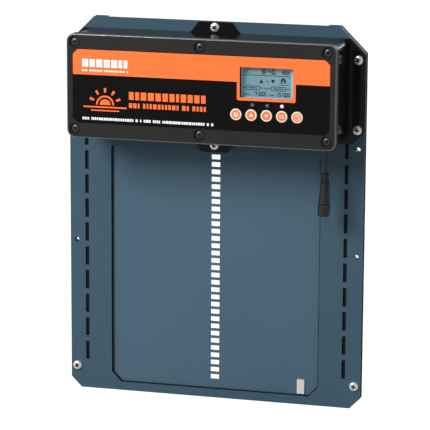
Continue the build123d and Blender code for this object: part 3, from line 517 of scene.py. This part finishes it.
dress(lamp_lens(), "indicator_lights")
print("display and lights done")

# %% [markdown]
# ## The front label
# The label is a polycarbonate film printed on its back, so its colours look
# deep and even under one smooth, slightly wavy skin. The black ground is the
# label's own finish. Every other colour is a separate thin sheet of ink, shaped
# as flat outlines, because outlines stay sharp at any size.


# %% Label film and inks
def film(name, colour, rough, glow=0.0):
    shader = Shader(name)
    wave = shader.noise(26.0, 2.0)
    grain = shader.noise(1800.0, 2.0)
    return shader.set(
        Base_Color=shader.mix(wave * 0.8 + grain * 0.2, tuple(c * 0.86 for c in colour), colour),
        Roughness=rough + grain * 0.08,
        Specular_IOR_Level=0.08,
        Normal=shader.bump(wave * 0.6 + grain * 0.02, 0.15, 0.0006),
        Emission_Color=shader.mix(wave, tuple(c * 0.9 for c in colour), colour),
        Emission_Strength=glow,
    )


label_black = film("label_black", srgb(10, 10, 10), 0.3)
ink_orange = film("ink_orange", srgb(254, 114, 58), 0.34)
ink_white = film("ink_white", srgb(246, 246, 244), 0.4)
ink_navy = film("ink_navy", srgb(14, 28, 58), 0.4)
dress(label_black, "front_label")


def printed(name, outlines, material, depth, body="frame", thick=0.06):
    """Flat outlines, holes included, as one thin sheet of ink whose face is at
    the given depth. Outlines are lists of (x, height) in millimetres."""
    flat = bpy.data.curves.new(name, "CURVE")
    flat.dimensions = "2D"
    flat.fill_mode = "BOTH"
    flat.extrude = thick / 2
    for outline in outlines:
        line = flat.splines.new("POLY")
        line.points.add(len(outline) - 1)
        for point, (x, height) in zip(line.points, outline):
            point.co = (x, up(height), 0, 1)
        line.use_cyclic_u = True
    holder = bpy.data.objects.new(name, flat)
    mesh = bpy.data.meshes.new_from_object(holder)
    bpy.data.objects.remove(holder)
    bpy.data.curves.remove(flat)
    stand = Matrix.Rotation(math.pi / 2, 4, "X")
    mesh.transform(
        Matrix.Scale(MM, 4) @ Matrix.Translation((0, thick / 2 - depth, 0)) @ stand
    )
    mesh.name = name
    sheet = bpy.data.objects.new(name, mesh)
    scene.collection.objects.link(sheet)
    mesh.materials.clear()
    dress(material, sheet)
    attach(sheet, body)
    return sheet


print("inks ready")

# %% [markdown]
# ## Outlines for the graphics
# Everything printed is made from a few shapes: boxes with rounded corners,
# discs, and the seven bars of a display digit. Each helper returns
# outlines, and an outline inside another becomes a hole.


# %% Outline helpers
def box(x0, h0, x1, h1, corner=0.0):
    """Corner points of a box, with rounded corners if asked."""
    if corner <= 0:
        return [(x0, h0), (x1, h0), (x1, h1), (x0, h1)]
    points = []
    for cx, cy, start in (
        (x1 - corner, h0 + corner, -90),
        (x1 - corner, h1 - corner, 0),
        (x0 + corner, h1 - corner, 90),
        (x0 + corner, h0 + corner, 180),
    ):
        for step in range(7):
            angle = math.radians(start + step * 15)
            points.append((cx + corner * math.cos(angle), cy + corner * math.sin(angle)))
    return points


def disc(x, h, radius, sides=48):
    return [
        (x + radius * math.cos(i * math.tau / sides), h + radius * math.sin(i * math.tau / sides))
        for i in range(sides)
    ]


def sector(x, h, inner, outer, start, end, steps=20):
    """Part of a ring between two angles, in degrees."""
    turn = [math.radians(start + (end - start) * i / steps) for i in range(steps + 1)]
    rim = [(x + outer * math.cos(t), h + outer * math.sin(t)) for t in turn]
    if inner <= 0:
        return rim + [(x, h)]
    return rim + [(x + inner * math.cos(t), h + inner * math.sin(t)) for t in reversed(turn)]


SEGMENTS = {
    "0": "abcdef",
    "1": "bc",
    "4": "bcfg",
    "5": "acdfg",
    "7": "abc",
    "8": "abcdefg",
}


def digit(mark, x, h, width, height, line):
    """The lit bars of one seven-segment digit whose lower left corner is (x, h)."""
    if mark == ":":
        return [
            box(x - line / 2, h + height * at - line / 2, x + line / 2, h + height * at + line / 2)
            for at in (0.3, 0.7)
        ]
    half = height / 2
    edge = line / 2
    bars = {
        "a": (x - edge, h + height - edge, x + width + edge, h + height + edge),
        "d": (x - edge, h - edge, x + width + edge, h + edge),
        "g": (x + edge + 0.05, h + half - edge, x + width - edge - 0.05, h + half + edge),
        "f": (x - edge, h + half + 0.05, x + edge, h + height - edge - 0.05),
        "b": (x + width - edge, h + half + 0.05, x + width + edge, h + height - edge - 0.05),
        "e": (x - edge, h + edge + 0.05, x + edge, h + half - 0.05),
        "c": (x + width - edge, h + edge + 0.05, x + width + edge, h + half - 0.05),
    }
    return [box(*bars[key]) for key in SEGMENTS[mark]]


def clock(text, x, h, width, height, line, pitch):
    """A time as a row of digits, the colon taking less room."""
    shapes = []
    for mark in text:
        shapes += digit(mark, x, h, width, height, line)
        x += pitch if mark != ":" else pitch - width + 0.1
    return shapes


print("digits known:", "".join(SEGMENTS))

# %% [markdown]
# ## The orange ground
# One sheet of orange covers the label's top band and runs down round the
# display. It follows the label's clipped corners, a hair inside its edge.

# %% Orange ground
LABEL_FACE = 62.75
INK_FACE = LABEL_FACE + 0.03
LABEL_EDGE, LABEL_HIGH, LABEL_CLIP = 118.85, 333.25, 4.4
BAND_LOW = 310.4
HOOD_LEFT, HOOD_RIGHT, HOOD_LOW, HOOD_CORNER = 34.3, 88.0, 293.9, 1.6
SIGHT_MARGIN = 0.15

hood = box(HOOD_LEFT, HOOD_LOW, HOOD_RIGHT, BAND_LOW + 10, HOOD_CORNER)
low_corners = [p for p in hood if p[1] < HOOD_LOW + HOOD_CORNER + 0.01]
right_low = sorted([p for p in low_corners if p[0] > LCD_X], key=lambda p: (p[1], p[0]))
left_low = sorted([p for p in low_corners if p[0] < LCD_X], key=lambda p: (-p[1], p[0]))
band = (
    [(-LABEL_EDGE, BAND_LOW), (HOOD_LEFT, BAND_LOW)]
    + left_low
    + right_low
    + [(HOOD_RIGHT, BAND_LOW), (LABEL_EDGE, BAND_LOW)]
    + [(LABEL_EDGE, LABEL_HIGH - LABEL_CLIP), (LABEL_EDGE - LABEL_CLIP, LABEL_HIGH)]
    + [(-LABEL_EDGE + LABEL_CLIP, LABEL_HIGH), (-LABEL_EDGE, LABEL_HIGH - LABEL_CLIP)]
)
half_w, half_h = LCD_W / 2 + SIGHT_MARGIN, LCD_H / 2 + SIGHT_MARGIN
sight = box(LCD_X - half_w, LCD_UP - half_h, LCD_X + half_w, LCD_UP + half_h)
orange_ground = printed("orange_ground", [band, sight], ink_orange, INK_FACE)
print("orange ground has", len(orange_ground.data.polygons), "faces")

# %% [markdown]
# ## What the display shows
# A coop controller shows the clock, the battery and the two switching times.
# The lit marks are printed on the panel, a few millimetres behind the pane, so
# that they slide against its edge as the eye moves, as on the real thing.

# %% Display marks
PANEL_FACE = 57.5
LCD_INK = PANEL_FACE + 0.04
RULE_LEFT, RULE_RIGHT = 37.9, 81.4
TOP_RULE, MID_RULE = 316.0, 305.0
BAR_T = 0.55
MENU_LEFT, MENU_LINES = 38.2, ((320.7, 6.6), (319.3, 5.2), (318.0, 6.0))
TIME_UP, TIME_SIZE = 298.2, (1.65, 3.0, 0.7, 2.95)
PILLS = ((41.4, 302.8, 54.4, 306.8), (64.0, 302.8, 78.0, 306.8))

marks = clock("8:40", 56.3, 317.9, 2.1, 3.9, 0.8, 3.75)
marks += [box(MENU_LEFT, h, MENU_LEFT + run, h + BAR_T) for h, run in MENU_LINES]
marks += [
    box(74.4, 317.9, 80.2, 320.9),
    box(75.0, 318.4, 79.6, 320.4),
    box(80.35, 318.8, 80.95, 320.0),
]
marks += [box(75.3 + i * 1.4, 318.65, 76.3 + i * 1.4, 320.15) for i in range(3)]
lcd_marks = printed("lcd_marks", marks, ink_navy, LCD_INK)

rules = [box(RULE_LEFT, TOP_RULE, RULE_RIGHT, TOP_RULE + BAR_T)]
edges = [RULE_LEFT] + [x for left, _, right, _ in PILLS for x in (left, right)] + [RULE_RIGHT]
rules += [
    box(edges[i] + 0.05, MID_RULE - 0.28, edges[i + 1] - 0.05, MID_RULE + 0.28)
    for i in range(0, len(edges), 2)
]
for left, low, right, high in PILLS:
    rules += [
        box(left, low, right, high, 1.8),
        box(left + 0.6, low + 0.6, right - 0.6, high - 0.6, 1.2),
        box(left + 2.6, low + 1.6, right - 2.6, high - 1.6),
    ]
rules += [
    box(59.5, 297.2, 59.85, MID_RULE - 0.5),
    box(71.2, 308.1, 80.6, 308.6),
    box(41.0, 298.6, 45.0, 299.3),
    box(63.4, 298.6, 67.4, 299.3),
]
lcd_rules = printed("lcd_rules", rules, ink_navy, LCD_INK)

times = clock("7:00", 49.4, TIME_UP, *TIME_SIZE) + clock("15:00", 68.8, TIME_UP, *TIME_SIZE)
lcd_times = printed("lcd_times", times, ink_navy, LCD_INK)

icons = [
    [(72.6, 312.6), (78.2, 312.6), (75.4, 315.2)],
    box(73.2, 309.9, 77.6, 312.4),
    box(74.6, 310.1, 76.2, 311.8),
    [(53.4, 309.4), (57.4, 309.4), (55.4, 312.9)],
    box(59.4, 310.9, 62.0, 311.5),
    [(64.0, 312.9), (68.0, 312.9), (66.0, 309.4)],
]
lcd_icons = printed("lcd_icons", icons, ink_navy, LCD_INK)
print("display marks:", len(marks) + len(rules) + len(times) + len(icons), "outlines")

# %% [markdown]
# ## Push buttons
# Each cap is white plastic under an orange disc of ink. The icon is a hole in
# the ink, so the white of the cap shows through as the icon and as the rim.

# %% Buttons
BUTTON_XS = {
    "settings_button": 33.6,
    "up_button": 47.6,
    "down_button": 61.6,
    "mode_button": 75.6,
    "timer_button": 89.6,
}
BUTTON_UP = 281.0
BUTTON_FACE = 63.25
BUTTON_INK_R = 4.05


def gear(x, h):
    """A cog outline with a round hole."""
    rim = []
    for tooth in range(8):
        for turn, reach in ((-13, 1.7), (-8, 2.4), (8, 2.4), (13, 1.7)):
            angle = math.radians(tooth * 45 + turn)
            rim.append((x + reach * math.cos(angle), h + reach * math.sin(angle)))
    return [rim, disc(x, h, 0.85, 24)]


def triangle(x, h, way):
    return [[(x - 2.0, h - way * 1.3), (x + 2.0, h - way * 1.3), (x, h + way * 2.1)]]


def arrows(x, h):
    """Two arrows passing each other."""
    shapes = []
    for way, rise in ((1, 0.95), (-1, -0.95)):
        tip, tail, neck = x + way * 2.5, x - way * 2.4, x + way * 0.9
        shapes.append(
            [
                (tail, h + rise - 0.35),
                (neck, h + rise - 0.35),
                (neck, h + rise - 0.85),
                (tip, h + rise),
                (neck, h + rise + 0.85),
                (neck, h + rise + 0.35),
                (tail, h + rise + 0.35),
            ]
        )
    return shapes


def dial(x, h):
    """A clock face with two hands."""
    hands = [(x - 0.3, h - 0.3), (x + 1.3, h - 0.3), (x + 1.3, h + 0.3), (x + 0.3, h + 0.3)]
    hands += [(x + 0.3, h + 1.6), (x - 0.3, h + 1.6)]
    return [disc(x, h, 2.7, 40), disc(x, h, 2.1, 40), hands]


ICONS = {
    "settings_button": gear,
    "up_button": lambda x, h: triangle(x, h, 1),
    "down_button": lambda x, h: triangle(x, h, -1),
    "mode_button": arrows,
    "timer_button": dial,
}

INK_PROUD = 0.02
for name, x in BUTTON_XS.items():
    dress(acetal_white, name)
    outlines = [disc(x, BUTTON_UP, BUTTON_INK_R)] + ICONS[name](x, BUTTON_UP)
    ink_face = BUTTON_FACE + INK_PROUD
    printed(name + "_ink", outlines, ink_orange, ink_face, name + "_body")
print("buttons inked:", ", ".join(BUTTON_XS))

# %% [markdown]
# ## Growing things with Geometry Nodes
# Rows of blocks and sets of screws are the same shape again and again, so a
# small node tree makes them. `Tree` builds such a tree with named inputs, and
# `grow` runs it once and keeps the result as a plain mesh.


# %% Geometry Nodes helpers
class Tree:
    """A geometry node tree with named inputs."""

    def __init__(self, name, **sockets):
        self.group = bpy.data.node_groups.new(name, "GeometryNodeTree")
        ports = self.group.interface
        ports.new_socket("Geometry", in_out="INPUT", socket_type="NodeSocketGeometry")
        for label, kind in sockets.items():
            ports.new_socket(label, in_out="INPUT", socket_type="NodeSocket" + kind)
        ports.new_socket("Geometry", in_out="OUTPUT", socket_type="NodeSocketGeometry")
        self.entry = self.group.nodes.new("NodeGroupInput").outputs
        self.exit = self.group.nodes.new("NodeGroupOutput").inputs[0]

    def node(self, kind, out=0, inputs=None, **settings):
        made = self.group.nodes.new(kind)
        for key, setting in settings.items():
            setattr(made, key, setting)
        for key, item in (inputs or {}).items():
            if isinstance(item, bpy.types.NodeSocket):
                self.group.links.new(item, made.inputs[key])
            else:
                made.inputs[key].default_value = item
        return made.outputs[out]

    def math(self, operation, first, second):
        return self.node("ShaderNodeMath", inputs={0: first, 1: second}, operation=operation)

    def random(self, low, high, seed):
        return self.node(
            "FunctionNodeRandomValue",
            out=1,
            inputs={2: low, 3: high, "Seed": seed},
            data_type="FLOAT",
        )

    def close(self, geometry, mask=None):
        """Realize, set the material and end the tree. Faces whose named mask is
        set take the second material."""
        solid = self.node("GeometryNodeRealizeInstances", inputs={0: geometry})
        coat = self.node(
            "GeometryNodeSetMaterial", inputs={0: solid, "Material": self.entry["Material"]}
        )
        if mask:
            picked = self.node(
                "GeometryNodeInputNamedAttribute", inputs={"Name": mask}, data_type="BOOLEAN"
            )
            second = {0: coat, "Selection": picked, "Material": self.entry["Second_Material"]}
            coat = self.node("GeometryNodeSetMaterial", inputs=second)
        self.group.links.new(coat, self.exit)
        return self.group


def grow(name, tree, points, body, **inputs):
    """Run a tree over a cloud of points and keep its result as one mesh."""
    seeds = bpy.data.meshes.new(name)
    seeds.from_pydata([tuple(p) for p in points], [], [])
    grown = bpy.data.objects.new(name, seeds)
    scene.collection.objects.link(grown)
    modifier = grown.modifiers.new(name, "NODES")
    modifier.node_group = tree
    for item in tree.interface.items_tree:
        if item.in_out == "INPUT" and item.name in inputs:
            modifier[item.identifier] = inputs[item.name]
    ready = grown.evaluated_get(bpy.context.evaluated_depsgraph_get())
    mesh = bpy.data.meshes.new_from_object(ready)
    grown.modifiers.remove(modifier)
    grown.data = mesh
    bpy.data.meshes.remove(seeds)
    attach(grown, body)
    print(name, "has", len(mesh.polygons), "faces")
    return grown


# %% [markdown]
# ## Rows of blocks in place of words
# Where such a panel carries words, this one carries plain blocks. Each block
# gets a random width, and Accumulate Field adds the widths up to find where the
# next block starts. Dividing by the total makes a row exactly as long as asked.


# %% Block rows
def block_row_tree():
    tree = Tree(
        "block_row",
        Length="Float",
        Height="Float",
        Count="Int",
        Gap="Float",
        Word_Break="Float",
        Seed="Int",
        Start="Vector",
        Thickness="Float",
        Material="Material",
    )
    ask = tree.entry
    line = tree.node(
        "GeometryNodeMeshLine", inputs={"Count": ask["Count"], "Offset": (0, 0, 0)}, mode="OFFSET"
    )
    width = tree.random(0.4, 1.0, ask["Seed"])
    chance = tree.random(0.0, 1.0, tree.math("ADD", ask["Seed"], 7.0))
    broken = tree.math("MULTIPLY", tree.math("LESS_THAN", chance, 0.2), ask["Word_Break"])
    step = tree.math("ADD", tree.math("ADD", width, ask["Gap"]), broken)
    added = tree.group.nodes.new("GeometryNodeAccumulateField")
    tree.group.links.new(step, added.inputs[0])
    fit = tree.math("DIVIDE", ask["Length"], added.outputs["Total"])
    centre = tree.math("ADD", added.outputs["Trailing"], tree.math("MULTIPLY", width, 0.5))
    offset = tree.node("ShaderNodeCombineXYZ", inputs={0: tree.math("MULTIPLY", centre, fit)})
    place = tree.node("ShaderNodeVectorMath", inputs={0: offset, 1: ask["Start"]}, operation="ADD")
    set_out = tree.node("GeometryNodeSetPosition", inputs={"Geometry": line, "Position": place})
    cube = tree.node("GeometryNodeMeshCube", inputs={"Size": (1, 1, 1)})
    scale = tree.node(
        "ShaderNodeCombineXYZ",
        inputs={0: tree.math("MULTIPLY", width, fit), 1: ask["Thickness"], 2: ask["Height"]},
    )
    blocks = tree.node(
        "GeometryNodeInstanceOnPoints", inputs={"Points": set_out, "Instance": cube, "Scale": scale}
    )
    return tree.close(blocks)


block_row = block_row_tree()


def words(name, x0, h0, x1, h1, count, seed, material, gap=0.16, word_break=0.5):
    """A row of blocks between two corners, in millimetres."""
    row = grow(
        name,
        block_row,
        [],
        "frame",
        Length=(x1 - x0) * MM,
        Height=(h1 - h0) * MM,
        Count=count,
        Gap=gap,
        Word_Break=word_break,
        Seed=seed,
        Start=(x0 * MM, -(INK_ON_LABEL - 0.04) * MM, up((h0 + h1) / 2) * MM),
        Thickness=0.08 * MM,
        Material=material,
    )
    return row


INK_ON_LABEL = INK_FACE + 0.03
words("heading_blocks", -110, 317.6, -66, 324.6, 7, 3, ink_white, 0.24, 0.0)
words("heading_rule", -110, 313.6, -66, 315.0, 17, 5, ink_white, 0.25, 0.6)
words("title_blocks", -66, 289.2, 7, 296.4, 12, 11, ink_orange, 0.26, 0.0)
words("subtitle_blocks", -66, 281.8, 7, 286.2, 19, 21, ink_orange, 0.34, 0.6)
words("footer_blocks", -110, 269.2, 15, 271.6, 54, 31, ink_white, 0.3, 0.8)

# %% [markdown]
# ## The emblem
# A plain sunrise stands beside the title: half a sun, five rays and the line of
# the ground. Rings cut from discs give the rays their gap.

# %% Emblem
SUN_X, SUN_UP = -88.5, 283.4
rays = [sector(SUN_X, SUN_UP, 11.2, 15.4, at - 4.5, at + 4.5, 4) for at in (22, 56, 90, 124, 158)]
rays += [sector(SUN_X, SUN_UP, 7.0, 8.6, 0, 180), sector(SUN_X, SUN_UP, 0, 5.2, 0, 180)]
rays += [box(-109, 280.6, -68, 281.9, 0.6), box(-102, 277.6, -75, 278.7, 0.5)]
emblem = printed("emblem", rays, ink_orange, INK_FACE)
print("emblem has", len(rays), "shapes")

# %% [markdown]
# ## Screws
# Every screw is a pan head with a cross recess. One is modelled: its profile
# is turned round its axis, with shallow rings for the thread, and two tapered
# bars are cut out of the head. The faces of that recess are marked, and take a
# second, darker material, a painted shade for the hollow. A node tree then sets
# a copy in each hole, each turned by its own random angle, as hands leave them.


# %% One screw
def lathe(profile, sides):
    """Turn (radius, height) points round Z. The ends of the profile lie on Z."""
    turned = bmesh.new()
    rings = []
    for radius, height in profile:
        if radius < 1e-9:
            rings.append([turned.verts.new((0, 0, height))])
        else:
            places = [
                (radius * math.cos(i * math.tau / sides), radius * math.sin(i * math.tau / sides))
                for i in range(sides)
            ]
            rings.append([turned.verts.new((x, y, height)) for x, y in places])
    for low, high in zip(rings, rings[1:]):
        for i in range(sides):
            j = i + 1
            corners = [
                low[i % len(low)],
                low[j % len(low)],
                high[j % len(high)],
                high[i % len(high)],
            ]
            turned.faces.new(list(dict.fromkeys(corners)))
    bmesh.ops.recalc_face_normals(turned, faces=turned.faces)
    return turned


def as_object(name, shape):
    mesh = bpy.data.meshes.new(name)
    shape.to_mesh(mesh)
    shape.free()
    made = bpy.data.objects.new(name, mesh)
    scene.collection.objects.link(made)
    return made


# The recess, as shares of the head: half its span, half a bar's width, its depth
CROSS_SPAN, CROSS_SLIM, CROSS_DEPTH = 0.28, 0.075, 0.85
CROSS_TAPER = 0.45


def cross_cutter(head_d, head_h):
    """Two tapered bars, crossed, to cut the recess."""
    span, slim, depth = head_d * CROSS_SPAN, head_d * CROSS_SLIM, head_h * CROSS_DEPTH
    cutter = bmesh.new()
    for turned in (False, True):
        rings = []
        for height, shrink in ((head_h * 1.1, 1.0), (head_h - depth, CROSS_TAPER)):
            reach = span * shrink
            corners = [(-reach, -slim), (reach, -slim), (reach, slim), (-reach, slim)]
            if turned:
                corners = [(-y, x) for x, y in corners]
            rings.append([cutter.verts.new((x, y, height)) for x, y in corners])
        high, low = rings
        cutter.faces.new(high)
        cutter.faces.new(low[::-1])
        for i in range(4):
            j = (i + 1) % 4
            cutter.faces.new((high[j], high[i], low[i], low[j]))
    bmesh.ops.recalc_face_normals(cutter, faces=cutter.faces)
    return as_object("cross_cutter", cutter)


# The faces within this share of the head can belong to the recess
MARKED_SPAN = 0.285
# The head's outline, as shares of its radius and height
PAN_HEAD = ((0, 1), (0.35, 0.985), (0.62, 0.9), (0.82, 0.74), (0.95, 0.48), (1, 0.22))


def screw_master(head_d, head_h, shank_d, length):
    """A pan-head screw whose seat is at the origin and whose head points up Z."""
    r, s, pitch = head_d / 2, shank_d / 2, shank_d * 0.17
    root = s - pitch * 0.5
    profile = [(share * r, rise * head_h) for share, rise in PAN_HEAD]
    profile += [(r, 0.0), (s, 0.0)]
    depth = pitch
    while depth < length - 1.6 * pitch:
        profile += [(root, -depth), (s, -depth - pitch / 2)]
        depth += pitch
    profile += [(root, -depth), (root * 0.7, -length), (0, -length)]
    screw = as_object("screw_master", lathe(profile, 32))
    cutter = cross_cutter(head_d, head_h)
    cut = screw.modifiers.new("cross", "BOOLEAN")
    cut.object, cut.operation, cut.solver, cut.use_self = cutter, "DIFFERENCE", "EXACT", True
    depsgraph = bpy.context.evaluated_depsgraph_get()
    mesh = bpy.data.meshes.new_from_object(screw.evaluated_get(depsgraph))
    screw.modifiers.remove(cut)
    screw.data = mesh
    bpy.data.objects.remove(cutter)
    recess = mesh.attributes.new("recess", "BOOLEAN", "FACE")
    for face in mesh.polygons:
        near_axis = face.center.xy.length < head_d * MARKED_SPAN
        inside = near_axis and face.center.z > head_h * 0.05
        sunk = abs(face.normal.z) < 0.5 or face.center.z < head_h * 0.5
        recess.data[face.index].value = inside and sunk
    return screw


# %% [markdown]
# ## Finding the holes
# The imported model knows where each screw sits. Its mesh is copied, its touching
# corners are merged, and each connected part is one screw. The box round each
# part gives the head's width, the seat and the screw's length.


# %% Measure the plain screws
def solids_of(name):
    """Boxes, as pairs of corners, of a node's separate solids."""
    copy = bmesh.new()
    copy.from_mesh(nodes[name].data)
    bmesh.ops.remove_doubles(copy, verts=copy.verts, dist=1e-6)
    left = set(copy.verts)
    boxes = []
    while left:
        part, edge = set(), [left.pop()]
        while edge:
            vert = edge.pop()
            part.add(vert.co.copy().freeze())
            for link in vert.link_edges:
                other = link.other_vert(vert)
                if other in left:
                    left.discard(other)
                    edge.append(other)
        low = Vector([min(p[i] for p in part) for i in range(3)])
        high = Vector([max(p[i] for p in part) for i in range(3)])
        boxes.append((low, high))
    copy.free()
    return sorted(boxes, key=lambda b: (round(b[0].z, 4), round(b[0].x, 4)))


def screw_tree():
    tree = Tree(
        "screw_set",
        Screw="Object",
        Seed="Int",
        Material="Material",
        Second_Material="Material",
    )
    ask = tree.entry
    spin = tree.random(0.0, math.pi / 2, ask["Seed"])
    turn = tree.node("ShaderNodeCombineXYZ", inputs={0: math.pi / 2, 1: spin})
    master = tree.node("GeometryNodeObjectInfo", out="Geometry", inputs={"Object": ask["Screw"]})
    placed = tree.node(
        "GeometryNodeInstanceOnPoints",
        inputs={"Points": ask["Geometry"], "Instance": master, "Rotation": turn},
    )
    return tree.close(placed, "recess")


screw_set = screw_tree()


def fit_screws(node, head_h, shank_d, material, seed):
    """Replace a node's plain screws with finely made ones."""
    boxes = solids_of(node)
    low, high = boxes[0]
    head_d, length = high.x - low.x, high.y - low.y - head_h
    seats = [((a.x + b.x) / 2, a.y + head_h, (a.z + b.z) / 2) for a, b in boxes]
    master = screw_master(head_d, head_h, shank_d, length)
    settings = dict(Screw=master, Seed=seed, Material=material, Second_Material=painted_recess_shade)
    fitted = grow("fine_" + node, screw_set, seats, "frame", **settings)
    bpy.data.objects.remove(master)
    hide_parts(node)
    print(node, len(seats), "screws, head", round(head_d / MM, 2), "length", round(length / MM, 2))
    return fitted


M4_HEAD_H, M4_SHANK_D = 2.6 * MM, 3.9 * MM
M3_HEAD_H, M3_SHANK_D = 1.4 * MM, 2.9 * MM
for node, seed in (("frame_screws", 4), ("flange_screws", 9), ("tab_screws", 2)):
    fit_screws(node, M4_HEAD_H, M4_SHANK_D, bright_nickel, seed)
fit_screws("lid_screws", M3_HEAD_H, M3_SHANK_D, black_zinc, 6)

# %% [markdown]
# ## Floor and light
# A wide pale floor runs out of view. One soft panel high on the left is the key
# light, a weak second one fills the right, and a third lights the back. A white
# background washes out its subject unless the two are lit apart. Here Light
# Path does it: the floor and the world are white to the camera and dimmer to
# every other ray, so the shadows under the housing stay deep.

# %% Floor
FLOOR_Z = cad_box[0][2] - 0.5 * MM
bpy.ops.mesh.primitive_plane_add(size=30, location=(0, 4, 0))
floor = bpy.context.active_object
floor.name = "floor"
floor.data.transform(Matrix.Translation((0, 4, FLOOR_Z)))
floor.location = (0, 0, 0)
floor_shader = Shader("floor_paint")
floor_cloud = floor_shader.noise(0.6, 2.0)
floor_shader.set(
    Base_Color=floor_shader.mix(floor_cloud, (0.42, 0.42, 0.42), (0.46, 0.46, 0.46)),
    Roughness=0.9,
    Specular_IOR_Level=0.0,
)
seen = floor_shader.node("ShaderNodeLightPath", out="Is Camera Ray") * 0.8
white = floor_shader.node("ShaderNodeEmission", inputs={"Strength": 1.3})
paint = Value(floor_shader.tree, floor_shader.principled.outputs[0])
surface = floor_shader.node("ShaderNodeMixShader", inputs={0: seen, 1: paint, 2: white})
ending = floor_shader.tree.nodes["Material Output"]
feed(floor_shader.tree, ending.inputs["Surface"], surface)
floor.data.materials.append(floor_shader.material)
print("floor at", round(FLOOR_Z, 4))


# %% Lights
def soft_panel(name, place, aim, size, watts, tint=(1, 1, 1)):
    panel = bpy.data.lights.new(name, "AREA")
    panel.shape, panel.size, panel.energy, panel.color = "SQUARE", size, watts, tint
    holder = bpy.data.objects.new(name, panel)
    holder.location = place
    holder.rotation_euler = (Vector(aim) - Vector(place)).to_track_quat("-Z", "Y").to_euler()
    scene.collection.objects.link(holder)
    return holder


MIDDLE = (0, 0, 0)
soft_panel("key_light", (-1.3, -1.9, 1.5), MIDDLE, size=1.2, watts=100)
soft_panel("fill_light", (1.9, -1.6, 0.7), MIDDLE, size=1.4, watts=3)
soft_panel("back_light", (1.1, 2.0, 1.0), MIDDLE, size=1.2, watts=30)
world = bpy.data.worlds.new("studio")
scene.world = world
world.use_nodes = True
sky = world.node_tree
path = sky.nodes.new("ShaderNodeLightPath")
level = sky.nodes.new("ShaderNodeMapRange")
level.inputs["To Min"].default_value = 0.36
level.inputs["To Max"].default_value = 1.0
sky.links.new(path.outputs["Is Camera Ray"], level.inputs["Value"])
sky.nodes["Background"].inputs["Color"].default_value = (1, 1, 1, 1)
sky.links.new(level.outputs["Result"], sky.nodes["Background"].inputs["Strength"])
scene.view_settings.view_transform = "Standard"

# %% [markdown]
# ## The view layer is updated once more. The last call checks that every piece rides on a body.

# %% Finish
bpy.context.view_layer.update()
